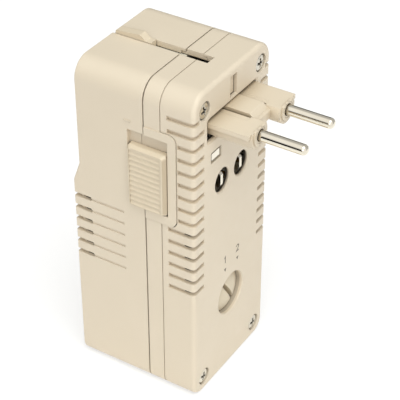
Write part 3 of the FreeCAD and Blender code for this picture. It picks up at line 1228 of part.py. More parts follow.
def coil_bobbin():
    low, middle, high = bobbin_levels()
    inner = CORE_LIMB + BOBBIN_GAP
    tube = inner + BOBBIN_WALL
    y0 = CORE_FRONT_Y - BOBBIN_GAP
    y1 = CORE_FRONT_Y + CORE_STACK + BOBBIN_GAP
    body = prism_z(rect(-tube, tube, y0 - BOBBIN_WALL, y1 + BOBBIN_WALL, BOBBIN_WALL), low, high)
    reach = CORE_W / 2 - CORE_LIMB - BOBBIN_GAP
    flange = rect(-reach, reach, CORE_FRONT_Y - BOBBIN_DEPTH_OUT,
                  CORE_FRONT_Y + CORE_STACK + BOBBIN_DEPTH_OUT, BOBBIN_R)
    half = BOBBIN_FLANGE / 2
    flanges = [prism_z(flange, low, low + BOBBIN_FLANGE), prism_z(flange, middle - half, middle + half),
               prism_z(flange, high - BOBBIN_FLANGE, high)]
    bobbin = join(body, *flanges)
    return bobbin.cut(box(-inner, inner, y0, y1, low - WALL, high + WALL))


def winding(upper):
    low, middle, high = bobbin_levels()
    half = BOBBIN_FLANGE / 2
    z0, z1 = (middle + half, high - BOBBIN_FLANGE) if upper else (low + BOBBIN_FLANGE, middle - half)
    tube = CORE_LIMB + BOBBIN_GAP + BOBBIN_WALL
    y0 = CORE_FRONT_Y - BOBBIN_GAP - BOBBIN_WALL
    y1 = CORE_FRONT_Y + CORE_STACK + BOBBIN_GAP + BOBBIN_WALL
    reach = CORE_W / 2 - CORE_LIMB - BOBBIN_GAP - WINDING_IN
    deep = BOBBIN_DEPTH_OUT - WINDING_IN
    coil = prism_z(rect(-reach, reach, CORE_FRONT_Y - deep, CORE_FRONT_Y + CORE_STACK + deep, WINDING_R),
                   z0, z1)
    return coil.cut(prism_z(rect(-tube, tube, y0, y1, BOBBIN_WALL), z0 - WALL, z1 + WALL))


def thermal_cutout():
    """Thermal cut-out strapped to the front of the middle flange."""
    z = bobbin_levels()[1]
    y = CORE_FRONT_Y - BOBBIN_DEPTH_OUT - CUTOUT_R
    can = Part.makeCylinder(CUTOUT_R, CUTOUT_L, V(-CUTOUT_L / 2, y, z), V(1, 0, 0))
    foot = box(-CUTOUT_L / 2, CUTOUT_L / 2, y, y + CUTOUT_R, z - CUTOUT_R, z + CUTOUT_R)
    return join(can, foot)


def circuit_board():
    board = prism_y(rect(-BOARD_HALF, BOARD_HALF, BOARD_LOW, BOARD_HIGH, BOARD_R), BOARD_Y, BOARD_Y + BOARD_T)
    cuts = [rod(x, z, SMALL_SCREW_R, BOARD_Y - WALL, BOARD_Y + WALL) for x, z in board_screw_spots()]
    for sx in (-1, 1):
        cuts.append(rod(sx * SCREW_X, SCREW_BASE_IN, BOSS_R + STOP_GAP, BOARD_Y - WALL, BOARD_Y + WALL))
        x0, x1 = sorted((sx * SCREW_X, sx * HOUSE_W))
        cuts.append(box(x0, x1, BOARD_Y - WALL, BOARD_Y + WALL, 0, SCREW_BASE_IN + BOSS_R + STOP_GAP))
    return board.cut(Part.makeCompound(cuts))


def heat_sink():
    """Comb of aluminium: a wall square to the board, with fins to one side."""
    x1 = SINK_X + SINK_T
    high = SINK_LOW + (SINK_FINS - 1) * SINK_FIN_PITCH + SINK_FIN_T
    wall = box(SINK_X, x1, SINK_FRONT_Y, BOARD_Y, SINK_LOW, high)
    fins = [box(SINK_X - SINK_FIN_L, SINK_X, SINK_FRONT_Y, BOARD_Y - SINK_FIN_GAP,
                SINK_LOW + k * SINK_FIN_PITCH, SINK_LOW + k * SINK_FIN_PITCH + SINK_FIN_T)
            for k in range(SINK_FINS)]
    return join(wall, *fins)


def triac():
    """Power package flat against the heat sink, its three legs turned back to the board."""
    x0 = SINK_X + SINK_T
    body = box(x0, x0 + TRIAC_T, TRIAC_FRONT_Y, TRIAC_FRONT_Y + TRIAC_W, TRIAC_LOW, TRIAC_LOW + TRIAC_H)
    y_mid = TRIAC_FRONT_Y + TRIAC_W / 2
    x_leg = x0 + TRIAC_T / 2
    half = TRIAC_LEG_W / 2
    legs = []
    for k in (-1, 0, 1):
        y = y_mid + k * TRIAC_LEG_PITCH
        foot = TRIAC_LOW - TRIAC_LEG_DROP + k * TRIAC_LEG_STEP
        legs.append(box(x_leg - half, x_leg + half, y - half, y + half, foot, TRIAC_LOW))
        legs.append(box(x_leg - half, x_leg + half, y - half, BOARD_Y, foot - TRIAC_LEG_W, foot))
    return join(body, *legs)


def filter_capacitor():
    shape = prism_y(rect(CAP_X, CAP_X + CAP_W, CAP_LOW, CAP_LOW + CAP_L, CAP_R), BOARD_Y - CAP_D, BOARD_Y)
    return shape.makeFillet(CAP_EDGE_R, front_edges(shape))


def suppression_choke():
    ring = rod(CHOKE_X, CHOKE_Z, CHOKE_R, BOARD_Y - CHOKE_D, BOARD_Y)
    ring = ring.cut(rod(CHOKE_X, CHOKE_Z, CHOKE_BORE_R, BOARD_Y - CHOKE_D - WALL, BOARD_Y + WALL))
    return ring.makeFillet(CHOKE_EDGE_R, front_edges(ring))


def fuse_link():
    y = BOARD_Y - FUSE_OFF
    return Part.makeCylinder(FUSE_R, FUSE_L, V(FUSE_X, y, FUSE_LOW), V(0, 0, 1))


def fuse_clips():
    """Two spring clips whose jaws hold the fuse's end caps."""
    y = BOARD_Y - FUSE_OFF
    made = []
    for z in (FUSE_LOW, FUSE_LOW + FUSE_L - FUSE_CAP_L):
        outer = Part.makeCylinder(FUSE_R + CLIP_T, FUSE_CAP_L, V(FUSE_X, y, z), V(0, 0, 1))
        foot = box(FUSE_X - FUSE_R, FUSE_X + FUSE_R, y, BOARD_Y, z, z + FUSE_CAP_L)
        mouth = box(FUSE_X - CLIP_MOUTH_HALF, FUSE_X + CLIP_MOUTH_HALF, y - FUSE_R * 2, y, z,
                    z + FUSE_CAP_L)
        bore = Part.makeCylinder(FUSE_R, FUSE_CAP_L, V(FUSE_X, y, z), V(0, 0, 1))
        made.append(join(outer, foot).cut(Part.makeCompound([mouth, bore])))
    return Part.makeCompound(made)


def knob_turned(shape):
    """Turn a shape that is drawn upright to the selector's rest, left of upright."""
    turned = shape.copy()
    turned.rotate(V(KNOB_X, 0, KNOB_Z), V(0, 1, 0), -KNOB_TURN)
    return turned


def selector_knob():
    """Domed knob with a coin slot, held behind the collar by its flange."""
    rim_y = Y_FACE + KNOB_SUNK
    crown_y = rim_y - KNOB_RISE
    back_y = rim_y + KNOB_RIM_T
    flange_y = back_y + COLLAR_GAP
    behind_y = flange_y + KNOB_FLANGE_T
    end_y = SWITCH_FRONT_Y + SWITCH_T
    ball_r = (KNOB_R ** 2 + KNOB_RISE ** 2) / (2 * KNOB_RISE)
    half_y = crown_y + ball_r - math.sqrt(ball_r ** 2 - (KNOB_R / 2) ** 2)
    dome = Part.Arc(knob_point(0, crown_y), knob_point(KNOB_R / 2, half_y), knob_point(KNOB_R, rim_y))
    steps = [(KNOB_R, rim_y), (KNOB_R, back_y), (KNOB_NECK_R, back_y), (KNOB_NECK_R, flange_y),
             (KNOB_FLANGE_R, flange_y), (KNOB_FLANGE_R, behind_y), (SHAFT_R, behind_y), (SHAFT_R, end_y),
             (0, end_y), (0, crown_y)]
    corners = [knob_point(r, y) for r, y in steps]
    edges = [dome.toShape()]
    edges += [Part.LineSegment(a, b).toShape() for a, b in zip(corners, corners[1:])]
    knob = Part.Face(Part.Wire(edges)).revolve(knob_point(0, 0), V(0, 1, 0), 360)
    slot = box(KNOB_X - KNOB_SLOT_W / 2, KNOB_X + KNOB_SLOT_W / 2, crown_y - WALL, rim_y + KNOB_SLOT_DEPTH,
               KNOB_Z - KNOB_R - WALL, KNOB_Z + KNOB_R + WALL)
    return knob.cut(Part.makeCompound([knob_turned(slot), shaft_flat(behind_y, end_y)]))


def knob_point(r, y):
    return V(KNOB_X + r, y, KNOB_Z)


def shaft_flat(y0, y1):
    """Stock beyond the flat of the selector's shaft."""
    return knob_turned(box(KNOB_X - SHAFT_R, KNOB_X + SHAFT_R, y0, y1, KNOB_Z + SHAFT_FLAT,
                           KNOB_Z + SHAFT_R))


def selector_rotor():
    disc = rod(KNOB_X, KNOB_Z, ROTOR_R, ROTOR_FRONT_Y, ROTOR_FRONT_Y + ROTOR_T)
    notches = []
    for turn in (0, 2 * KNOB_TURN):
        a = math.radians(turn)
        notches.append(rod(KNOB_X + ROTOR_R * math.sin(a), KNOB_Z - ROTOR_R * math.cos(a), NOTCH_R,
                           ROTOR_FRONT_Y - WALL, ROTOR_FRONT_Y + ROTOR_T + WALL))
    y0 = ROTOR_FRONT_Y - WALL
    y1 = ROTOR_FRONT_Y + ROTOR_T + WALL
    shaft = rod(KNOB_X, KNOB_Z, SHAFT_R, y0, y1).cut(shaft_flat(y0 - WALL, y1 + WALL))
    return disc.cut(Part.makeCompound(notches)).cut(shaft)


def rotor_contact():
    """Bridging contact on the back of the rotor."""
    y0 = ROTOR_FRONT_Y + ROTOR_T
    y1 = y0 + ROTOR_CONTACT_T
    ring = rod(KNOB_X, KNOB_Z, SHAFT_R + ROTOR_CONTACT_RIM, y0, y1)
    half = ROTOR_CONTACT_W / 2
    arm = box(KNOB_X - half, KNOB_X + half, y0, y1, KNOB_Z, KNOB_Z + SWITCH_PAD_OUT + SWITCH_PAD_R)
    ring = join(ring, knob_turned(arm))
    return ring.cut(rod(KNOB_X, KNOB_Z, SHAFT_R, y0 - WALL, y0 + WALL))


def switch_base():
    """Moulded base behind the rotor, on four legs that stand on the front cover."""
    y0 = SWITCH_FRONT_Y
    y1 = y0 + SWITCH_T
    plate = prism_y(rect(KNOB_X - SWITCH_HALF, KNOB_X + SWITCH_HALF, KNOB_Z - SWITCH_HALF,
                         KNOB_Z + SWITCH_HALF, SWITCH_R), y0, y1)
    legs = []
    reach = SWITCH_HALF - SWITCH_LEG
    for sx in (-1, 1):
        for sz in (-1, 1):
            x0, x1 = sorted((KNOB_X + sx * reach, KNOB_X + sx * SWITCH_HALF))
            z0, z1 = sorted((KNOB_Z + sz * reach, KNOB_Z + sz * SWITCH_HALF))
            legs.append(box(x0, x1, Y_INSIDE, y0, z0, z1))
    base = join(plate, *legs)
    collar_y = Y_FACE + KNOB_SUNK + KNOB_RIM_T
    cuts = [rod(KNOB_X, KNOB_Z, COLLAR_R, Y_INSIDE - WALL, collar_y),
            rod(KNOB_X, KNOB_Z, KNOB_FLANGE_R + STOP_GAP, collar_y - WALL, y0 - SWITCH_SWING_GAP),
            rod(KNOB_X, KNOB_Z, SHAFT_R + SHAFT_GAP, y0 - WALL, y1 + WALL)]
    cuts += [rod(x, z, SWITCH_PAD_R / 2, y0 - WALL, y1 + WALL) for x, z in contact_spots()]
    return base.cut(Part.makeCompound(cuts))


def contact_spots():
    """Fixed contacts: one for each position and one common."""
    spots = []
    for turn in (-KNOB_TURN, KNOB_TURN, 180.0):
        a = math.radians(turn)
        spots.append((KNOB_X + SWITCH_PAD_OUT * math.sin(a), KNOB_Z + SWITCH_PAD_OUT * math.cos(a)))
    return spots


def switch_contacts():
    """Rivet contacts on the front of the base with a solder tag behind each."""
    y0 = SWITCH_FRONT_Y
    y1 = y0 + SWITCH_T
    made = []
    for x, z in contact_spots():
        pad = rod(x, z, SWITCH_PAD_R, y0 - SWITCH_PAD_T, y0)
        tag = box(x - SWITCH_PAD_R, x + SWITCH_PAD_R, y1, y1 + TERMINAL_L, z - CONTACT_T / 2,
                  z + CONTACT_T / 2)
        shank = rod(x, z, SWITCH_PAD_R / 2, y0, y1)
        made.append(join(pad, shank, tag))
    return Part.makeCompound(made)


def lead(points):
    """Insulated lead: straight runs joined by tangent arcs."""
    edges = []
    start = points[0]
    for i in range(1, len(points) - 1):
        here = points[i]
        back = (points[i - 1] - here).normalize()
        ahead = (points[i + 1] - here).normalize()
        half = back.getAngle(ahead) / 2
        run = LEAD_BEND / math.tan(half)
        inward = (back + ahead).normalize()
        middle = here + inward * (LEAD_BEND / math.sin(half) - LEAD_BEND)
        edges.append(Part.LineSegment(start, here + back * run).toShape())
        edges.append(Part.Arc(here + back * run, middle, here + ahead * run).toShape())
        start = here + ahead * run
    edges.append(Part.LineSegment(start, points[-1]).toShape())
    path = Part.Wire(edges)
    ring = Part.Wire([Part.Circle(points[0], (points[1] - points[0]).normalize(), LEAD_R).toShape()])
    return path.makePipeShell([ring], True, False)


def supply_lead(sx):
    """From a contact strip's level at the divider down to the board."""
    x, z = SUPPLY_LEADS[sx]
    return lead([V(x, SUPPLY_Y, DIVIDER_LOW), V(x, SUPPLY_Y, z), V(x, BOARD_Y, z)])


def switch_lead(k):
    x, z = contact_spots()[k]
    z_tag = z - CONTACT_T / 2 - LEAD_R
    y0 = SWITCH_FRONT_Y + SWITCH_T
    return lead([V(x, y0, z_tag), V(x, BOARD_Y, z_tag)])


def main():
    pieces = {
        "front_cover": front_cover(),
        "middle_frame": middle_frame(),
        "rear_cover": rear_cover(),
        "case_screws": case_screws(),
        "lock_pad": lock_pad(),
        "lock_bar": lock_bar(),
        "euro_carriage": euro_carriage(),
        "euro_pin_left": euro_pin(-1),
        "euro_pin_right": euro_pin(1),
        "euro_wiper_left": euro_wiper(-1),
        "euro_wiper_right": euro_wiper(1),
        "uk_carriage": uk_carriage(),
        "uk_pin_left": uk_pin(-1),
        "uk_pin_right": uk_pin(1),
        "uk_earth_pin": uk_earth_pin(),
        "uk_thumb_tab": uk_thumb_tab(),
        "us_carriage": us_carriage(),
        "us_thumb_tab": us_thumb_tab(),
        "us_wipers": us_wipers(),
        "us_rotor_left": us_rotor(-1),
        "us_rotor_right": us_rotor(1),
        "us_blade_left": us_blade(-1),
        "us_blade_right": us_blade(1),
        "guide_rods": guide_rods(),
        "plug_chassis": plug_chassis(),
        "chassis_screws": small_screws(chassis_screw_spots(), CHASSIS_Y + SMALL_HEAD_T,
                                       CHASSIS_T - SMALL_HEAD_T + CHASSIS_BITE),
        "euro_strips": strip_pair(EURO_STRIP_IN, EURO_STRIP_OUT, EURO_STRIP_LOW, CHASSIS_Y),
        "uk_strips": strip_pair(UK_STRIP_IN, UK_STRIP_OUT, UK_STRIP_LOW, OUTLET_FRONT_Y),
        "us_strips": strip_pair(US_STRIP_IN, US_STRIP_OUT, DIVIDER_LOW + DIVIDER_T, OUTLET_FRONT_Y),
        "outlet_block": outlet_block(),
        "outlet_contact_left": outlet_contact(-1),
        "outlet_contact_right": outlet_contact(1),
        "divider_plate": divider_plate(),
        "core_e_stack": core_stack("e"),
        "core_i_stack": core_stack("i"),
        "core_screws": small_screws(core_screw_spots(), CORE_FRONT_Y, CORE_STACK + SMALL_BITE),
        "coil_bobbin": coil_bobbin(),
        "primary_winding": winding(False),
        "secondary_winding": winding(True),
        "thermal_cutout": thermal_cutout(),
        "circuit_board": circuit_board(),
        "board_screws": small_screws(board_screw_spots(), BOARD_Y, BOARD_T + SMALL_BITE),
        "heat_sink": heat_sink(),
        "triac": triac(),
        "filter_capacitor": filter_capacitor(),
        "suppression_choke": suppression_choke(),
        "fuse_link": fuse_link(),
        "fuse_clips": fuse_clips(),
        "selector_knob": selector_knob(),
        "selector_rotor": selector_rotor(),
        "rotor_contact": rotor_contact(),
        "switch_base": switch_base(),
        "switch_contacts": switch_contacts(),
        "supply_lead_left": supply_lead(-1),
        "supply_lead_right": supply_lead(1),
        "switch_lead_low": switch_lead(0),
        "switch_lead_high": switch_lead(1),
        "switch_lead_common": switch_lead(2),
    }
    os.makedirs("parts", exist_ok=True)
    for name, shape in pieces.items():
        shape.exportStep("parts/" + name + ".step")
        print(name, "solids", len(shape.Solids), "valid", shape.isValid(), "volume", round(shape.Volume, 1))


main()
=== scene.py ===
import json
import math

import bmesh
import bpy
from mathutils import Matrix, Vector


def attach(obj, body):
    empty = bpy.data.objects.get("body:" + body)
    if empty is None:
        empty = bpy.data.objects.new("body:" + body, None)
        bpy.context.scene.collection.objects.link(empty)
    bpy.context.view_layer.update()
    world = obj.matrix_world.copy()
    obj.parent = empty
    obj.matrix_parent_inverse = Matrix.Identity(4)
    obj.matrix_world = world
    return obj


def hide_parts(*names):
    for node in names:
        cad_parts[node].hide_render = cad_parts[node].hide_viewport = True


# Travel voltage converter: an ivory moulded housing with a drawn-out round-pin plug, dressed for
# a plain white studio. Metres, in the frame of the solids: X across, Y from front to rear, Z up.

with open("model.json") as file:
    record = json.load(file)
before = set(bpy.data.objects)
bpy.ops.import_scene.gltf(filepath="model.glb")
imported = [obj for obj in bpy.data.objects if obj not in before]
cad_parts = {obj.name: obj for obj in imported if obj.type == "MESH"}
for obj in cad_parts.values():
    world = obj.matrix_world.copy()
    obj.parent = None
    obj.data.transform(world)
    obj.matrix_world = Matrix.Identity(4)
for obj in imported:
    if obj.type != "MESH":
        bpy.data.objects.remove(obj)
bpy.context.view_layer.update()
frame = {"nodes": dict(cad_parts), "record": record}

MM = 0.001

# Housing
FACE_Y = -26.0 * MM           # front face
HOUSE_SIDE = 25.45 * MM       # half of its width
HOUSE_BACK = 23.1 * MM        # rear face above the step
HOUSE_TOP = 134.5 * MM
TOP_R = 7.5 * MM              # upper corners, seen from the front
CORNER_R = 3.2 * MM           # upright corners, as the vent grooves' floors turn round them
GROOVE_FLOOR = 1.22 * MM      # the vent grooves' floors lie just above this depth
SLIT_DEPTH = 1.45 * MM        # from here inwards the plastic takes the full painted shade
# strength of the painted shade deep inside the housing
INNER_DARK = 0.93
WAIST = 15.6 * MM             # the lock's pocket and the top slot lie this near the middle
WAIST_DARK = 0.04
KNOB_X = 0.5 * MM
KNOB_Z = 34.9 * MM
RECESS_R = 9.3 * MM           # just outside the selector's recess
RECESS_DARK = 0.35

# Camera, as far away and as long as the photograph's
CAMERA_PLACE = (-350.40 * MM, -231.46 * MM, 374.50 * MM)
CAMERA_AZIMUTH = -58.017
CAMERA_ELEVATION = 36.060
CAMERA_ROLL = 0.052
CAMERA_SHIFT = -0.5 / 400
SENSOR = 36.0
LENS = 1383.244 / 400 * SENSOR

# Light
FLOOR_R = 0.5
FLOOR_SIDES = 96
FLOOR_LIFT = 0.6              # share of plain white that the camera sees in the floor
TENT_LOW = 0.02
TENT_HIGH = 1.03
TENT_RIGHT = 0.5
TENT_EDGE = (-0.3, 0.4)       # soft edge of the dark opening
TENT_SIDE_EDGE = (-0.1, 0.4)  # soft edge of the shaded right half
TENT_RISE = 2.6               # how fast the tent brightens with height
TENT_BASE = 0.1
TENT_BACK = -2.5              # how fast it darkens toward the rear
TABLE_TINT = (1.0, 0.99, 0.98, 1.0)
SKY_TINT = (1.0, 0.99, 0.95, 1.0)
LAMP_AIM = (0.0, 0.0, 0.05)

# Case screws
SCREW_SPREAD_X = 18.65 * MM
SCREW_LOW_Z = 6.6 * MM
SCREW_HIGH_Z = 127.0 * MM
SCREW_SEAT = 1.7 * MM         # seat below the front face
HEAD_R = 3.15 * MM
HEAD_T = 1.6 * MM
HEAD_DOME = 0.45 * MM
HEAD_EDGE = 0.25 * MM         # rounding of the head's rim
CROSS_ARM = 1.85 * MM
CROSS_HALF = 0.5 * MM
CROSS_DEPTH = 1.2 * MM
CROSS_SLOPE = 2.2             # how steep the recess walls are
SHANK_R = 1.35 * MM
SHANK_L = 40.0 * MM
THREAD_PITCH = 1.2 * MM
THREAD_RISE = 0.14 * MM
POINT_STEPS = 3               # last steps of the shank, which narrow to its point

# Round-pin plug
PIN_X = 9.5 * MM
PIN_Z = 118.08 * MM
COLLAR_OUT = 2.98 * MM
COLLAR_IN = 2.15 * MM
COLLAR_BEVEL = 0.2 * MM
COLLAR_FRONT_Y = -42.45 * MM
COLLAR_REAR_Y = -41.71 * MM
COLLAR_SIDES = 72
SLOT_Y = (-36.0 * MM, -24.5 * MM)
LEDGE_LEFT_X = (-7.5 * MM, -5.5 * MM)
LEDGE_RIGHT_X = (5.5 * MM, 7.5 * MM)
LEDGE_Z = (118.9 * MM, 120.6 * MM)

# Marks by the selector and on the rear cover
MARK_OFF = 4.4 * MM
MARK_Z = 48.8 * MM
MARK_HALF = 0.75 * MM
DIGIT_Z = 52.2 * MM
DIGIT_H = 3.0 * MM
STROKE = 0.42 * MM
INK_T = 0.03 * MM
DASH_Y = (-0.3 * MM, 2.6 * MM)
DASH_Z = 117.7 * MM
DASH_W = 0.7 * MM
DASH_RISE = 0.3 * MM
DASH_EDGE = 0.12 * MM


def shade(code):
    """Linear colour of an sRGB hex code."""
    parts = [int(code[i:i + 2], 16) / 255 for i in (1, 3, 5)]
    return tuple(p / 12.92 if p <= 0.04045 else ((p + 0.055) / 1.055) ** 2.4 for p in parts) + (1.0,)


def add(tree, kind, inputs=(), **settings):
    """Adds a node with its settings, and fills its inputs with values or with other nodes' sockets."""
    node = tree.nodes.new(kind)
    for name, value in settings.items():
        setattr(node, name, value)
    for name, value in dict(inputs).items():
        if isinstance(value, bpy.types.NodeSocket):
            tree.links.new(value, node.inputs[name])
        else:
            node.inputs[name].default_value = value
    return node


def start_material(name):
    """New material with an empty node tree."""
    material = bpy.data.materials.new(name)
    material.use_nodes = True
    material.node_tree.nodes.clear()
    return material, material.node_tree


def finish_material(tree, shader):
    """Makes a shader the surface of its material."""
    add(tree, "ShaderNodeOutputMaterial", {"Surface": shader})


def per_mm(size):
    """Pattern scale for one feature every so many millimetres."""
    return 1.0 / (size * MM)


# Finishes

def rounded_depth(tree, a, b, a_end, b_end, r):
    """Depth inside an outline with rounded corners, from two distances off its middle."""
    past_a = add(tree, "ShaderNodeMath", {0: a.outputs["Value"], 1: a_end - r}, operation="SUBTRACT")
    past_b = add(tree, "ShaderNodeMath", {0: b.outputs["Value"], 1: b_end - r}, operation="SUBTRACT")
    past = add(tree, "ShaderNodeCombineXYZ", {"X": past_a.outputs["Value"], "Y": past_b.outputs["Value"]})
    over = add(tree, "ShaderNodeVectorMath", {0: past.outputs["Vector"]}, operation="MAXIMUM")
    reach = add(tree, "ShaderNodeVectorMath", {0: over.outputs["Vector"]}, operation="LENGTH")
    return add(tree, "ShaderNodeMath", {0: r, 1: reach.outputs["Value"]}, operation="SUBTRACT")


def painted_inner_shade(tree, place, colour):
    """Paints shade into a colour with the depth below the housing's outer faces, so slits and holes read
    black.
    """
    way = add(tree, "ShaderNodeSeparateXYZ", {0: place})
    across = add(tree, "ShaderNodeMath", {0: way.outputs["X"]}, operation="ABSOLUTE")
    forward = add(tree, "ShaderNodeMath", {0: way.outputs["Y"], 1: -1.0}, operation="MULTIPLY")
    lower = add(tree, "ShaderNodeMath", {0: way.outputs["Z"], 1: HOUSE_TOP / 2}, operation="SUBTRACT")
    upright = add(tree, "ShaderNodeMath", {0: lower.outputs["Value"]}, operation="ABSOLUTE")
    front_view = rounded_depth(tree, across, upright, HOUSE_SIDE, HOUSE_TOP / 2, TOP_R)
    top_view = rounded_depth(tree, across, forward, HOUSE_SIDE, -FACE_Y, CORNER_R)
    depth = add(tree, "ShaderNodeMath", {0: front_view.outputs["Value"], 1: top_view.outputs["Value"]},
                operation="MINIMUM")
    rear = add(tree, "ShaderNodeMath", {0: HOUSE_BACK, 1: way.outputs["Y"]}, operation="SUBTRACT")
    least = add(tree, "ShaderNodeMath", {0: depth.outputs["Value"], 1: rear.outputs["Value"]},
                operation="MINIMUM")
    amount = add(tree, "ShaderNodeMapRange", {"Value": least.outputs["Value"], "From Min": GROOVE_FLOOR,
                                              "From Max": SLIT_DEPTH, "To Min": 0.0, "To Max": INNER_DARK})
    # the selector's wide recess takes only a part of the painted shade
    flat = add(tree, "ShaderNodeVectorMath", {0: place, 1: (1.0, 0.0, 1.0)}, operation="MULTIPLY")
    far = add(tree, "ShaderNodeVectorMath", {0: flat.outputs["Vector"], 1: (KNOB_X, 0.0, KNOB_Z)},
              operation="DISTANCE")
    outside = add(tree, "ShaderNodeMapRange", {"Value": far.outputs["Value"], "From Min": RECESS_R,
                                               "From Max": RECESS_R + MM, "To Min": RECESS_DARK})
    # the waist has only shallow, open recesses: the lock's pocket and the top slot
    off = add(tree, "ShaderNodeMath", {0: way.outputs["Y"]}, operation="ABSOLUTE")
    ends = add(tree, "ShaderNodeMapRange", {"Value": off.outputs["Value"], "From Min": WAIST,
                                            "From Max": WAIST + MM, "To Min": WAIST_DARK})
    share = add(tree, "ShaderNodeMath", {0: amount.outputs["Result"], 1: outside.outputs["Result"]},
                operation="MULTIPLY")
    dark = add(tree, "ShaderNodeMath", {0: share.outputs["Value"], 1: ends.outputs["Result"]},
               operation="MULTIPLY")
    return add(tree, "ShaderNodeMixRGB", {"Fac": dark.outputs["Value"], "Color1": colour,
                                          "Color2": shade("#1C150C")})


def moulded(name, light, dark, rough, grain=0.6, height=0.012, groove=0.05, reach=2.2, ior=1.53,
             housing=False, front_painted_shade=0.0):
    """Injection-moulded plastic: a cloudy colour, a fine eroded grain, soft corners, dust and painted shade
    in grooves and gaps.
    """
    material, tree = start_material(name)
    place = add(tree, "ShaderNodeTexCoord").outputs["Object"]
    cloud = add(tree, "ShaderNodeTexNoise", {"Vector": place, "Scale": per_mm(22), "Detail": 3.0,
                                             "Roughness": 0.5})
    body = add(tree, "ShaderNodeMix", {"Factor": cloud.outputs["Fac"], "A": shade(dark), "B": shade(light)},
               data_type="RGBA")
    # dust, and painted shade, where the wall folds in
    hollow = add(tree, "ShaderNodeAmbientOcclusion", {"Distance": reach * MM}, samples=6)
    amount = add(tree, "ShaderNodeMapRange", {"Value": hollow.outputs["AO"], "From Min": 0.25,
                                              "From Max": 0.95, "To Min": groove, "To Max": 0.0})
    dust_and_painted_shade = add(tree, "ShaderNodeMixRGB", {"Fac": amount.outputs["Result"], "Color1": body.outputs["Result"],
                                           "Color2": shade("#BDAE92")}, blend_type="MULTIPLY")
    # painted shade: deep gaps and slits go nearly dark
    depth = add(tree, "ShaderNodeMapRange", {"Value": hollow.outputs["AO"], "From Min": 0.02, "From Max": 0.2,
                                             "To Min": 0.95, "To Max": 0.0})
    shaded = add(tree, "ShaderNodeMixRGB", {"Fac": depth.outputs["Result"], "Color1": dust_and_painted_shade.outputs["Color"],
                                            "Color2": shade("#4A3C2A")}, blend_type="MULTIPLY")
    # painted shade deep in the housing's slits and holes
    if housing:
        shaded = painted_inner_shade(tree, place, shaded.outputs["Color"])
    if front_painted_shade:
        # painted shade on the wall that faces the front
        facing = add(tree, "ShaderNodeNewGeometry").outputs["Normal"]
        flank = add(tree, "ShaderNodeSeparateXYZ", {0: facing})
        front_shade = add(tree, "ShaderNodeMapRange", {"Value": flank.outputs["Y"], "From Min": -0.9,
                                                "From Max": -0.6, "To Min": front_painted_shade, "To Max": 0.0})
        shaded = add(tree, "ShaderNodeMixRGB", {"Fac": front_shade.outputs["Result"],
                                                "Color1": shaded.outputs["Color"],
                                                "Color2": shade("#8F7A5C")})
    # handled corners are a little glossier
    corner = add(tree, "ShaderNodeBevel", {"Radius": 0.35 * MM}, samples=6)
    flat = add(tree, "ShaderNodeNewGeometry").outputs["Normal"]
    turn = add(tree, "ShaderNodeVectorMath", {0: corner.outputs["Normal"], 1: flat}, operation="DOT_PRODUCT")
    patches = add(tree, "ShaderNodeTexNoise", {"Vector": place, "Scale": per_mm(3.5), "Detail": 2.0})
    sheen = add(tree, "ShaderNodeMapRange", {"Value": patches.outputs["Fac"], "From Min": 0.3,
                                             "From Max": 0.7, "To Min": rough - 0.05,
                                             "To Max": rough + 0.06})
    worn = add(tree, "ShaderNodeMapRange", {"Value": turn.outputs["Value"], "From Min": 0.8, "From Max": 1.0,
                                            "To Min": 0.75, "To Max": 1.0})
    gloss = add(tree, "ShaderNodeMath", {0: sheen.outputs["Result"], 1: worn.outputs["Result"]},
                operation="MULTIPLY")
    eroded = add(tree, "ShaderNodeTexNoise", {"Vector": place, "Scale": per_mm(grain), "Detail": 2.0})
    bump = add(tree, "ShaderNodeBump", {"Strength": 0.35, "Distance": height * MM,
                                        "Height": eroded.outputs["Fac"], "Normal": corner.outputs["Normal"]})
    shader = add(tree, "ShaderNodeBsdfPrincipled", {"Base Color": shaded.outputs["Color"], "IOR": ior,
                                                    "Roughness": gloss.outputs["Value"],
                                                    "Normal": bump.outputs["Normal"]})
    finish_material(tree, shader.outputs["BSDF"])
    return material


def ivory_abs_shell():
    # ABS, moulded in a spark-eroded tool: warm ivory, satin, with a grain felt more than seen
    return moulded("ivory_abs_satin_moulded", "#DCCFBB", "#D7CAB5", 0.48, housing=True)


def ivory_abs_pad(front_painted_shade=0.0):
    # ABS with a coarser grain under the thumb: the same ivory, slightly yellower and duller
    return moulded("ivory_abs_matte_pad", "#D9CBB4", "#D3C5AD", 0.55, height=0.02, front_painted_shade=front_painted_shade)


def ivory_polycarbonate_plug():
    # polycarbonate plug arm, moulded smooth: the same ivory with a clearer gloss
    # its strong, wide groove darkening paints shade on the arm's walls near the housing
    return moulded("ivory_polycarbonate_smooth", "#DBCEB9", "#D6C8B2", 0.38, height=0.006, groove=0.75,
                    reach=7.0, ior=1.58)


def ivory_abs_knob():
    # ABS knob, moulded smooth: ivory, coloured a shade darker than the shell as painted shade of its recess
    return moulded("ivory_abs_painted_shade_knob", "#D6C9B2", "#CEC1A9", 0.5)


def ivory_outlet():
    # polycarbonate socket face, moulded smooth
    return moulded("ivory_polycarbonate_outlet", "#DACEBA", "#D4C8B2", 0.4, height=0.006, ior=1.58)


def dark_phenolic_rotor():
    # phenolic rotor round each blade, pressed smooth: dark brown-black with a dull gloss
    return moulded("dark_phenolic_pressed", "#36281B", "#2A1E13", 0.7, ior=1.5)


def natural_nylon():
    # nylon of the inner carriages, moulded without pigment: milky and slightly translucent to the eye
    return moulded("natural_nylon_moulded", "#E8E2D2", "#DED7C4", 0.45)


def bobbin_nylon():
    # glass-filled nylon of the bobbin: cream with a dull fibrous surface
    return moulded("glass_filled_nylon_bobbin", "#D8CDAE", "#C9BD9C", 0.6, grain=0.9, height=0.03)


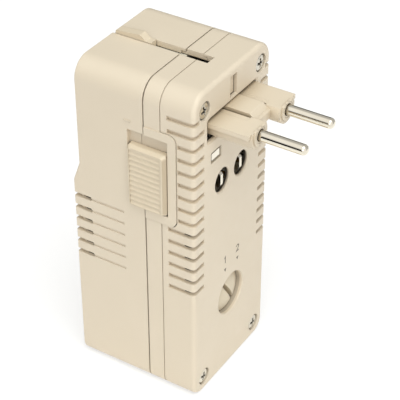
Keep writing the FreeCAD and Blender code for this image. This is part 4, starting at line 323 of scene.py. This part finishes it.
def black_epoxy():
    # moulded epoxy package: black, dull, slightly sandy
    return moulded("black_epoxy_moulded", "#1D1D1F", "#161618", 0.6, groove=0.1, ior=1.55)


def film_capacitor():
    # dipped epoxy of the capacitor: orange-brown, with a wet gloss
    return moulded("brown_epoxy_dipped", "#A9611E", "#8F4E16", 0.25, grain=2.5, height=0.05, ior=1.56)


def ferrite_core():
    # sintered ferrite: near-black grey, dead matt
    return moulded("grey_ferrite_sintered", "#3B3A3C", "#302F31", 0.8, grain=0.5, height=0.03, ior=2.0)


def lead_sleeve():
    # PVC sleeve of the leads, extruded: red, with a soft gloss
    return moulded("red_pvc_extruded", "#A3281F", "#8E2019", 0.42, grain=1.5, height=0.01, ior=1.54)


def metal(name, light, dark, low, high, streak, relief, along=(1.0, 1.0, 1.0)):
    """Bare or plated metal: colour and polish that vary in streaks, with fine lines in the surface."""
    material, tree = start_material(name)
    place = add(tree, "ShaderNodeTexCoord").outputs["Object"]
    drawn = add(tree, "ShaderNodeMapping", {"Vector": place, "Scale": along})
    lines = add(tree, "ShaderNodeTexNoise", {"Vector": drawn.outputs["Vector"], "Scale": per_mm(streak),
                                             "Detail": 3.0})
    stain = add(tree, "ShaderNodeTexNoise", {"Vector": place, "Scale": per_mm(6), "Detail": 2.0})
    body = add(tree, "ShaderNodeMix", {"Factor": stain.outputs["Fac"], "A": shade(dark), "B": shade(light)},
               data_type="RGBA")
    # painted shade in recesses, darker the more closed in they are
    hollow = add(tree, "ShaderNodeAmbientOcclusion", {"Distance": 1.6 * MM}, samples=6)
    painted_recess_shade = add(tree, "ShaderNodeMapRange", {"Value": hollow.outputs["AO"], "From Min": 0.4, "From Max": 0.9,
                                             "To Min": 0.95, "To Max": 0.0})
    recess_shaded = add(tree, "ShaderNodeMixRGB", {"Fac": painted_recess_shade.outputs["Result"], "Color1": body.outputs["Result"],
                                            "Color2": shade("#2E2418")})
    polish = add(tree, "ShaderNodeMapRange", {"Value": lines.outputs["Fac"], "From Min": 0.3, "From Max": 0.7,
                                              "To Min": low, "To Max": high})
    corner = add(tree, "ShaderNodeBevel", {"Radius": 0.2 * MM}, samples=6)
    bump = add(tree, "ShaderNodeBump", {"Strength": 0.4, "Distance": relief * MM,
                                        "Height": lines.outputs["Fac"], "Normal": corner.outputs["Normal"]})
    shader = add(tree, "ShaderNodeBsdfPrincipled", {"Base Color": recess_shaded.outputs["Color"], "Metallic": 1.0,
                                                    "Roughness": polish.outputs["Result"],
                                                    "Normal": bump.outputs["Normal"]})
    finish_material(tree, shader.outputs["BSDF"])
    return material


def nickel_plate():
    # nickel-plated brass, drawn and barrel-plated: warm silver, bright, with faint lengthwise lines
    return metal("nickel_plate_drawn", "#EFE9DC", "#E2DACA", 0.04, 0.09, 0.8, 0.003, (1.0, 0.06, 1.0))


def zinc_screw():
    # zinc-plated steel screw, cold-headed: a duller, greyer silver
    return metal("zinc_plate_headed", "#E2DDD2", "#CBC4B6", 0.14, 0.3, 0.7, 0.005)


def spring_brass():
    # rolled brass strip of the contacts: yellow, satin
    return metal("brass_rolled", "#CDA659", "#B58D45", 0.25, 0.4, 0.8, 0.006, (1.0, 0.1, 1.0))


def lamination_steel():
    # stacked electrical steel: dark blue-grey, its sheet edges 0.8 mm apart as fine lines
    return metal("silicon_steel_stacked", "#7B7F86", "#5C6067", 0.4, 0.6, 0.8, 0.08, (0.05, 1.0, 0.05))


def sink_aluminium():
    # extruded aluminium, mill finish: pale grey, with lines along the fins
    return metal("aluminium_extruded", "#C6C7C9", "#B1B2B5", 0.3, 0.45, 0.7, 0.01, (1.0, 1.0, 0.08))


def enamelled_copper():
    """Enamelled copper wire wound in rows: each turn a glossy rounded line, 0.6 mm from the next."""
    material, tree = start_material("enamelled_copper_wound")
    place = add(tree, "ShaderNodeTexCoord").outputs["Object"]
    turns = add(tree, "ShaderNodeTexWave", {"Vector": place, "Scale": per_mm(0.6) / 20, "Distortion": 0.4,
                                            "Detail": 1.0}, bands_direction="Z")
    # the colour is darker in the valleys between turns and lighter on their crowns: painted shade and
    # highlight
    body = add(tree, "ShaderNodeMix", {"Factor": turns.outputs["Fac"], "A": shade("#6E2F12"),
                                       "B": shade("#B8622C")}, data_type="RGBA")
    rough = add(tree, "ShaderNodeMapRange", {"Value": turns.outputs["Fac"], "To Min": 0.45, "To Max": 0.25})
    bump = add(tree, "ShaderNodeBump", {"Strength": 0.8, "Distance": 0.2 * MM,
                                        "Height": turns.outputs["Fac"]})
    shader = add(tree, "ShaderNodeBsdfPrincipled", {"Base Color": body.outputs["Result"], "Metallic": 0.8,
                                                    "Roughness": rough.outputs["Result"],
                                                    "Normal": bump.outputs["Normal"]})
    finish_material(tree, shader.outputs["BSDF"])
    return material


def glass_laminate():
    """Epoxy-glass board under green solder mask: a woven texture under a clear gloss."""
    material, tree = start_material("epoxy_glass_laminate_green")
    place = add(tree, "ShaderNodeTexCoord").outputs["Object"]
    weave = add(tree, "ShaderNodeTexWave", {"Vector": place, "Scale": per_mm(0.8) / 20, "Distortion": 0.2},
                bands_direction="DIAGONAL")
    cloud = add(tree, "ShaderNodeTexNoise", {"Vector": place, "Scale": per_mm(5), "Detail": 2.0})
    body = add(tree, "ShaderNodeMix", {"Factor": cloud.outputs["Fac"], "A": shade("#1E5230"),
                                       "B": shade("#2A6A3E")}, data_type="RGBA")
    rough = add(tree, "ShaderNodeMapRange", {"Value": weave.outputs["Fac"], "To Min": 0.28, "To Max": 0.4})
    bump = add(tree, "ShaderNodeBump", {"Strength": 0.3, "Distance": 0.02 * MM,
                                        "Height": weave.outputs["Fac"]})
    shader = add(tree, "ShaderNodeBsdfPrincipled", {"Base Color": body.outputs["Result"], "IOR": 1.55,
                                                    "Roughness": rough.outputs["Result"],
                                                    "Normal": bump.outputs["Normal"]})
    finish_material(tree, shader.outputs["BSDF"])
    return material


def fuse_glass():
    """Drawn glass tube of the fuse: clear, faintly uneven."""
    material, tree = start_material("soda_glass_drawn")
    place = add(tree, "ShaderNodeTexCoord").outputs["Object"]
    ripple = add(tree, "ShaderNodeTexNoise", {"Vector": place, "Scale": per_mm(4), "Detail": 1.0})
    bump = add(tree, "ShaderNodeBump", {"Strength": 0.2, "Distance": 0.02 * MM,
                                        "Height": ripple.outputs["Fac"]})
    smear = add(tree, "ShaderNodeMapRange", {"Value": ripple.outputs["Fac"], "To Min": 0.02, "To Max": 0.1})
    shader = add(tree, "ShaderNodeBsdfPrincipled", {"Base Color": shade("#F1F4F2"), "IOR": 1.52,
                                                    "Transmission Weight": 0.9,
                                                    "Roughness": smear.outputs["Result"],
                                                    "Normal": bump.outputs["Normal"]})
    finish_material(tree, shader.outputs["BSDF"])
    return material


def marking_ink():
    """Pad-printed ink: warm dark grey, thin enough to break up at its edges."""
    material, tree = start_material("pad_printed_ink")
    place = add(tree, "ShaderNodeTexCoord").outputs["Object"]
    thin = add(tree, "ShaderNodeTexNoise", {"Vector": place, "Scale": per_mm(0.5), "Detail": 2.0})
    body = add(tree, "ShaderNodeMix", {"Factor": thin.outputs["Fac"], "A": shade("#4A4238"),
                                       "B": shade("#6A5F52")}, data_type="RGBA")
    bump = add(tree, "ShaderNodeBump", {"Strength": 0.2, "Distance": 0.01 * MM,
                                        "Height": thin.outputs["Fac"]})
    shader = add(tree, "ShaderNodeBsdfPrincipled", {"Base Color": body.outputs["Result"], "Roughness": 0.6,
                                                    "Normal": bump.outputs["Normal"]})
    finish_material(tree, shader.outputs["BSDF"])
    return material


FINISHES = {
    "case": ivory_abs_shell(),
    # the lock pad's end wall facing the front gets painted shade
    "slider": ivory_abs_pad(front_painted_shade=0.6),
    "inner_plastic": natural_nylon(),
    "plug_body": ivory_polycarbonate_plug(),
    "blade_rotor": dark_phenolic_rotor(),
    "thumb_tab": ivory_abs_pad(),
    "plated_pin": nickel_plate(),
    "screw_steel": zinc_screw(),
    "contact_brass": spring_brass(),
    "outlet": ivory_outlet(),
    "knob": ivory_abs_knob(),
    "core_steel": lamination_steel(),
    "bobbin": bobbin_nylon(),
    "copper_wire": enamelled_copper(),
    "black_moulding": black_epoxy(),
    "board": glass_laminate(),
    "sink_aluminium": sink_aluminium(),
    "capacitor": film_capacitor(),
    "ferrite": ferrite_core(),
    "fuse_glass": fuse_glass(),
    "lead_insulation": lead_sleeve(),
}


def dress_solids():
    """Gives every solid the finish of its material slot."""
    for part in frame["record"]["subparts"]:
        node = frame["nodes"][part["node"]]
        node.data.materials.clear()
        node.data.materials.append(FINISHES[part["material_slot"]])
    # the earth pin is a moulded plastic one, the colour of the plug arm
    earth = frame["nodes"]["uk_earth_pin"]
    earth.data.materials.clear()
    earth.data.materials.append(FINISHES["plug_body"])


def new_piece(name, mesh, finish, body):
    """Adds a piece to the scene that rides with a body and fills a material slot."""
    piece = bpy.data.objects.new(name, mesh)
    bpy.context.collection.objects.link(piece)
    if not mesh.materials:
        mesh.materials.append(finish)
    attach(piece, body)
    return piece


def outward_mesh(bm, name):
    """Mesh of a finished shape, with its faces turned outwards."""
    bmesh.ops.recalc_face_normals(bm, faces=bm.faces)
    mesh = bpy.data.meshes.new(name)
    bm.to_mesh(mesh)
    bm.free()
    return mesh


def block(x, y, z):
    """Rectangular block between the given limits."""
    bm = bmesh.new()
    bmesh.ops.create_cube(bm, size=1.0)
    bmesh.ops.scale(bm, vec=[b - a for a, b in (x, y, z)], verts=bm.verts)
    bmesh.ops.translate(bm, vec=[(a + b) / 2 for a, b in (x, y, z)], verts=bm.verts)
    return bm


def ring_of_points(bm, r, y, side, x=0.0, z=0.0):
    """Ring of points round an axis along Y through the given x and z."""
    angles = [math.tau * k / side for k in range(side)]
    return [bm.verts.new((x + r * math.cos(a), y, z + r * math.sin(a))) for a in angles]


def link_rings(bm, last, ring):
    """Joins a ring of points to the one before it."""
    if last is None:
        return
    n = len(ring)
    for k in range(n):
        j = (k + 1) % n
        if len(last) == 1:
            bm.faces.new((last[0], ring[k], ring[j]))
        else:
            bm.faces.new((last[k], ring[k], ring[j], last[j]))


# Round-pin plug

def pin_collars():
    """Collar round the foot of each round pin; it narrows the ring recess to a thin dark line."""
    bm = bmesh.new()
    profile = [(COLLAR_OUT, COLLAR_REAR_Y), (COLLAR_OUT, COLLAR_FRONT_Y),
               (COLLAR_IN + COLLAR_BEVEL, COLLAR_FRONT_Y), (COLLAR_IN, COLLAR_FRONT_Y + COLLAR_BEVEL),
               (COLLAR_IN, COLLAR_REAR_Y)]
    for x in (-PIN_X, PIN_X):
        rings = [ring_of_points(bm, r, y, COLLAR_SIDES, x, PIN_Z) for r, y in profile]
        for a, b in zip(rings, rings[1:] + rings[:1]):
            link_rings(bm, a, b)
    new_piece("pin_collars", outward_mesh(bm, "pin_collars"), FINISHES["plug_body"], "euro")


def arm_ledges():
    """Ledge along each arm, which leaves a narrow slot beside the snap tongue."""
    for name, x in (("arm_ledge_left", LEDGE_LEFT_X), ("arm_ledge_right", LEDGE_RIGHT_X)):
        mesh = outward_mesh(block(x, SLOT_Y, LEDGE_Z), name)
        new_piece(name, mesh, FINISHES["plug_body"], "euro")


# Case screws

def cross_depth(x, z):
    """Share of the recess depth at a point of the head: two crossed arms with sloped walls."""
    arm = max(min((CROSS_ARM - abs(a)) / CROSS_HALF, (CROSS_HALF - abs(b)) / CROSS_HALF * CROSS_SLOPE)
              for a, b in ((x, z), (z, x)))
    t = min(max(arm, 0.0), 1.0)
    return t * t * (3 - 2 * t)


def screw_mesh():
    """Domed head with a cross recess on a threaded shank; its seat is at the origin, its top at -Y."""
    bm = bmesh.new()
    side, rings, steps = 72, 22, 96
    last = None
    for i in range(rings + 1):
        r = HEAD_R * i / rings
        fall = HEAD_DOME * (i / rings) ** 2 + (HEAD_EDGE if i == rings else 0.0)
        ring = []
        for k in range(side if i else 1):
            a = math.tau * k / side
            x = r * math.cos(a)
            z = r * math.sin(a)
            ring.append(bm.verts.new((x, -HEAD_T + fall + CROSS_DEPTH * cross_depth(x, z), z)))
        link_rings(bm, last, ring)
        last = ring
    for r, y in ((HEAD_R, 0.0), (SHANK_R, 0.0)):
        ring = ring_of_points(bm, r, y, side)
        link_rings(bm, last, ring)
        last = ring
    for i in range(1, steps + 1):
        y = SHANK_L * i / steps
        core = SHANK_R * (1.0 if i < steps - POINT_STEPS else 0.4 + 0.15 * (steps - i))
        ring = []
        for k in range(side):
            a = math.tau * k / side
            wave = abs(((y / THREAD_PITCH + k / side) % 1.0) * 2 - 1)
            r = core - THREAD_RISE * wave
            ring.append(bm.verts.new((r * math.cos(a), y, r * math.sin(a))))
        link_rings(bm, last, ring)
        last = ring
    end = bm.verts.new((0, SHANK_L + SHANK_R * 0.4, 0))
    for k in range(side):
        bm.faces.new((last[k], last[(k + 1) % side], end))
    for face in bm.faces:
        face.smooth = True
    return outward_mesh(bm, "screw_pattern")


def screw_layout():
    """Sets a screw at each corner of a rectangle on the front face, each turned by chance."""
    tree = bpy.data.node_groups.new("screw_layout", "GeometryNodeTree")
    sizes = {"Spread X": SCREW_SPREAD_X * 2, "Spread Z": SCREW_HIGH_Z - SCREW_LOW_Z}
    face = tree.interface
    for name, value in sizes.items():
        face.new_socket(name, in_out="INPUT", socket_type="NodeSocketFloat").default_value = value
    for name, kind in (("Screw", "Object"), ("Metal", "Material"), ("Seed", "Int")):
        face.new_socket(name, in_out="INPUT", socket_type="NodeSocket" + kind)
    face.new_socket("Geometry", in_out="OUTPUT", socket_type="NodeSocketGeometry")
    given = add(tree, "NodeGroupInput").outputs
    grid = add(tree, "GeometryNodeMeshGrid", {"Size X": given["Spread X"], "Size Y": given["Spread Z"],
                                              "Vertices X": 2, "Vertices Y": 2})
    upright = add(tree, "GeometryNodeTransform", {"Geometry": grid.outputs["Mesh"],
                                                  "Rotation": (math.radians(90), 0.0, 0.0),
                                                  "Translation": (0.0, FACE_Y + SCREW_SEAT,
                                                                  (SCREW_LOW_Z + SCREW_HIGH_Z) / 2)})
    stamp = add(tree, "GeometryNodeObjectInfo", {"Object": given["Screw"]})
    chance = add(tree, "FunctionNodeRandomValue", {"Min": (0.0, -0.25, 0.0), "Max": (0.0, 0.35, 0.0),
                                                   "Seed": given["Seed"]}, data_type="FLOAT_VECTOR")
    screws = add(tree, "GeometryNodeInstanceOnPoints", {"Points": upright.outputs["Geometry"],
                                                        "Instance": stamp.outputs["Geometry"],
                                                        "Rotation": chance.outputs["Value"]})
    real = add(tree, "GeometryNodeRealizeInstances", {"Geometry": screws.outputs["Instances"]})
    dressed = add(tree, "GeometryNodeSetMaterial", {"Geometry": real.outputs["Geometry"],
                                                    "Material": given["Metal"]})
    add(tree, "NodeGroupOutput", {"Geometry": dressed.outputs["Geometry"]})
    return tree


def grown(name, tree, values):
    """Mesh that a node tree makes with the given inputs."""
    holder = bpy.data.objects.new(name + "_holder", bpy.data.meshes.new(name + "_empty"))
    bpy.context.collection.objects.link(holder)
    modifier = holder.modifiers.new("grow", "NODES")
    modifier.node_group = tree
    for item in tree.interface.items_tree:
        if item.in_out == "INPUT" and item.name in values:
            modifier[item.identifier] = values[item.name]
    seen = holder.evaluated_get(bpy.context.evaluated_depsgraph_get())
    mesh = bpy.data.meshes.new_from_object(seen)
    holder.modifiers.remove(modifier)
    bpy.data.objects.remove(holder)
    mesh.name = name
    return mesh


def case_screws():
    """The four screws of the front cover, in place of their plain solids."""
    pattern = bpy.data.objects.new("screw_stamp", screw_mesh())
    steel = FINISHES["screw_steel"]
    mesh = grown("case_screw_set", screw_layout(), {"Screw": pattern, "Metal": steel, "Seed": 4,
                                                    "Spread X": SCREW_SPREAD_X * 2,
                                                    "Spread Z": SCREW_HIGH_Z - SCREW_LOW_Z})
    bpy.data.objects.remove(pattern)
    piece = new_piece("case_screw_set", mesh, steel, "root")
    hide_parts("case_screws")


# Printed marks

def slab(bm, outline, y, thick):
    """Thin plate with the given outline in X and Z, standing off the front face."""
    near = [bm.verts.new((x, y - thick, z)) for x, z in outline]
    far = [bm.verts.new((x, y + thick, z)) for x, z in outline]
    bm.faces.new(near)
    bm.faces.new(far[::-1])
    n = len(outline)
    for k in range(n):
        j = (k + 1) % n
        bm.faces.new((near[j], near[k], far[k], far[j]))


def stroke(points, width):
    """Outline of a pen stroke through the points, with mitred corners."""
    left, right = [], []
    for i, (x, z) in enumerate(points):
        runs = []
        if i:
            runs.append(Vector((x - points[i - 1][0], z - points[i - 1][1])).normalized())
        if i < len(points) - 1:
            runs.append(Vector((points[i + 1][0] - x, points[i + 1][1] - z)).normalized())
        way = sum(runs, Vector((0, 0))).normalized()
        off = Vector((-way.y, way.x)) * width / 2 / max(way.dot(runs[0]), 0.4)
        left.append((x + off.x, z + off.y))
        right.append((x - off.x, z - off.y))
    return left + right[::-1]


def digit_one(x, z):
    """Figure one, middle of its foot at x, z."""
    h = DIGIT_H
    return stroke([(x - 0.22 * h, z + 0.76 * h), (x, z + h), (x, z)], STROKE)


def digit_two(x, z):
    """Figure two, middle of its foot at x, z."""
    h = DIGIT_H
    angles = [math.radians(a) for a in range(170, -41, -15)]
    bow = [(x + 0.28 * h * math.cos(a), z + 0.72 * h + 0.28 * h * math.sin(a)) for a in angles]
    return stroke(bow + [(x - 0.28 * h, z + STROKE / 2), (x + 0.32 * h, z + STROKE / 2)], STROKE)


def selector_marks():
    """An arrow over each position of the selector, with its number above."""
    bm = bmesh.new()
    for side in (-1, 1):
        x = KNOB_X + side * MARK_OFF
        slab(bm, [(x - MARK_HALF, MARK_Z + MARK_HALF), (x + MARK_HALF, MARK_Z + MARK_HALF),
                  (x, MARK_Z - MARK_HALF)], FACE_Y, INK_T)
    slab(bm, digit_one(KNOB_X - MARK_OFF, DIGIT_Z), FACE_Y, INK_T)
    slab(bm, digit_two(KNOB_X + MARK_OFF, DIGIT_Z), FACE_Y, INK_T)
    new_piece("selector_marks", outward_mesh(bm, "selector_marks"), marking_ink(), "root")


def raised_dash():
    """Short raised line on the rear cover, above the lock pad."""
    bm = block((-HOUSE_SIDE - DASH_RISE, -HOUSE_SIDE + DASH_RISE), DASH_Y,
               (DASH_Z - DASH_W / 2, DASH_Z + DASH_W / 2))
    bmesh.ops.bevel(bm, geom=bm.edges[:], offset=DASH_EDGE, segments=3, affect="EDGES")
    new_piece("raised_dash", outward_mesh(bm, "raised_dash"), FINISHES["case"], "root")


# Studio

def white_floor():
    """Plain white sweep; the camera sees it half lifted to white, so contact shadows stay faint."""
    mesh = bpy.data.meshes.new("studio_floor")
    angles = [math.tau * k / FLOOR_SIDES for k in range(FLOOR_SIDES)]
    rim = [(FLOOR_R * math.cos(a), FLOOR_R * math.sin(a), 0) for a in angles]
    mesh.from_pydata(rim, [], [tuple(range(FLOOR_SIDES))])
    material, tree = start_material("white_paper_sweep")
    sheet = add(tree, "ShaderNodeBsdfDiffuse", {"Color": shade("#FFFFFF"), "Roughness": 0.6})
    glow = add(tree, "ShaderNodeEmission", {"Color": shade("#FFFFFF"), "Strength": 1.0})
    ray = add(tree, "ShaderNodeLightPath").outputs["Is Camera Ray"]
    lift = add(tree, "ShaderNodeMath", {0: ray, 1: FLOOR_LIFT}, operation="MULTIPLY")
    seen = add(tree, "ShaderNodeMixShader", {0: lift.outputs["Value"], 1: sheet.outputs["BSDF"],
                                             2: glow.outputs["Emission"]})
    finish_material(tree, seen.outputs["Shader"])
    mesh.materials.append(material)
    floor = bpy.data.objects.new("studio_floor", mesh)
    bpy.context.collection.objects.link(floor)


def lamp(name, place, size, power, colour):
    """Large soft lamp that faces the object."""
    data = bpy.data.lights.new(name, "AREA")
    data.shape = "DISK"
    data.size = size
    data.energy = power
    data.color = colour
    thing = bpy.data.objects.new(name, data)
    thing.location = place
    thing.rotation_euler = (Vector(LAMP_AIM) - Vector(place)).to_track_quat("-Z", "Y").to_euler()
    bpy.context.collection.objects.link(thing)


def studio_light():
    """White light tent, open and dark low down at the rear, shaded on the right, with two soft lamps."""
    world = bpy.data.worlds.new("studio_air")
    world.use_nodes = True
    tree = world.node_tree
    tree.nodes.clear()
    path = add(tree, "ShaderNodeLightPath").outputs
    seen = add(tree, "ShaderNodeMath", {0: path["Is Camera Ray"], 1: path["Is Transmission Ray"]},
               operation="MAXIMUM")
    white = add(tree, "ShaderNodeBackground", {"Color": (1.0, 1.0, 1.0, 1.0), "Strength": 1.0})
    way = add(tree, "ShaderNodeSeparateXYZ", {0: add(tree, "ShaderNodeTexCoord").outputs["Generated"]})
    # the open rear: dark up to a line that rises toward the back
    rise = add(tree, "ShaderNodeMath", {0: way.outputs["Z"], 1: TENT_RISE, 2: TENT_BASE},
               operation="MULTIPLY_ADD")
    back = add(tree, "ShaderNodeMath", {0: way.outputs["Y"], 1: TENT_BACK, 2: rise.outputs["Value"]},
               operation="MULTIPLY_ADD")
    wall = add(tree, "ShaderNodeMapRange", {"Value": back.outputs["Value"], "From Min": TENT_EDGE[0],
                                            "From Max": TENT_EDGE[1], "To Min": TENT_LOW,
                                            "To Max": TENT_HIGH})
    # the right half hangs in shade
    half = add(tree, "ShaderNodeMapRange", {"Value": way.outputs["X"], "From Min": TENT_SIDE_EDGE[0],
                                            "From Max": TENT_SIDE_EDGE[1], "To Min": 1.0,
                                            "To Max": TENT_RIGHT})
    strength = add(tree, "ShaderNodeMath", {0: wall.outputs["Result"], 1: half.outputs["Result"]},
                   operation="MULTIPLY")
    tint = add(tree, "ShaderNodeMixRGB", {"Fac": way.outputs["Z"], "Color1": TABLE_TINT, "Color2": SKY_TINT})
    soft = add(tree, "ShaderNodeBackground", {"Color": tint.outputs["Color"],
                                              "Strength": strength.outputs["Value"]})
    both = add(tree, "ShaderNodeMixShader", {0: seen.outputs["Value"], 1: soft.outputs["Background"],
                                             2: white.outputs["Background"]})
    add(tree, "ShaderNodeOutputWorld", {"Surface": both.outputs["Shader"]})
    bpy.context.scene.world = world
    lamp("top_lamp", (-0.35, -0.4, 1.25), size=0.8, power=7.8, colour=(0.96, 1.0, 0.98))
    lamp("left_lamp", (-1.1, -0.45, 0.55), size=0.7, power=1.7, colour=(1.0, 0.99, 0.94))


def photo_camera():
    """Camera that sees the object as the photograph does."""
    data = bpy.data.cameras.new("photo_camera")
    data.sensor_width = SENSOR
    data.lens = LENS
    data.shift_x = CAMERA_SHIFT
    data.clip_start = 0.01
    az = math.radians(CAMERA_AZIMUTH)
    el = math.radians(CAMERA_ELEVATION)
    back = Vector((math.sin(az) * math.cos(el), -math.cos(az) * math.cos(el), math.sin(el)))
    right = Vector((math.cos(az), math.sin(az), 0.0))
    turn = Matrix((right, back.cross(right), back)).transposed()
    thing = bpy.data.objects.new("photo_camera", data)
    thing.matrix_world = (Matrix.Translation(CAMERA_PLACE) @ turn.to_4x4()
                          @ Matrix.Rotation(math.radians(CAMERA_ROLL), 4, "Z"))
    bpy.context.collection.objects.link(thing)
    bpy.context.scene.camera = thing


bpy.context.scene.view_settings.view_transform = "Standard"
photo_camera()
studio_light()
white_floor()
dress_solids()
case_screws()
pin_collars()
arm_ledges()
selector_marks()
raised_dash()
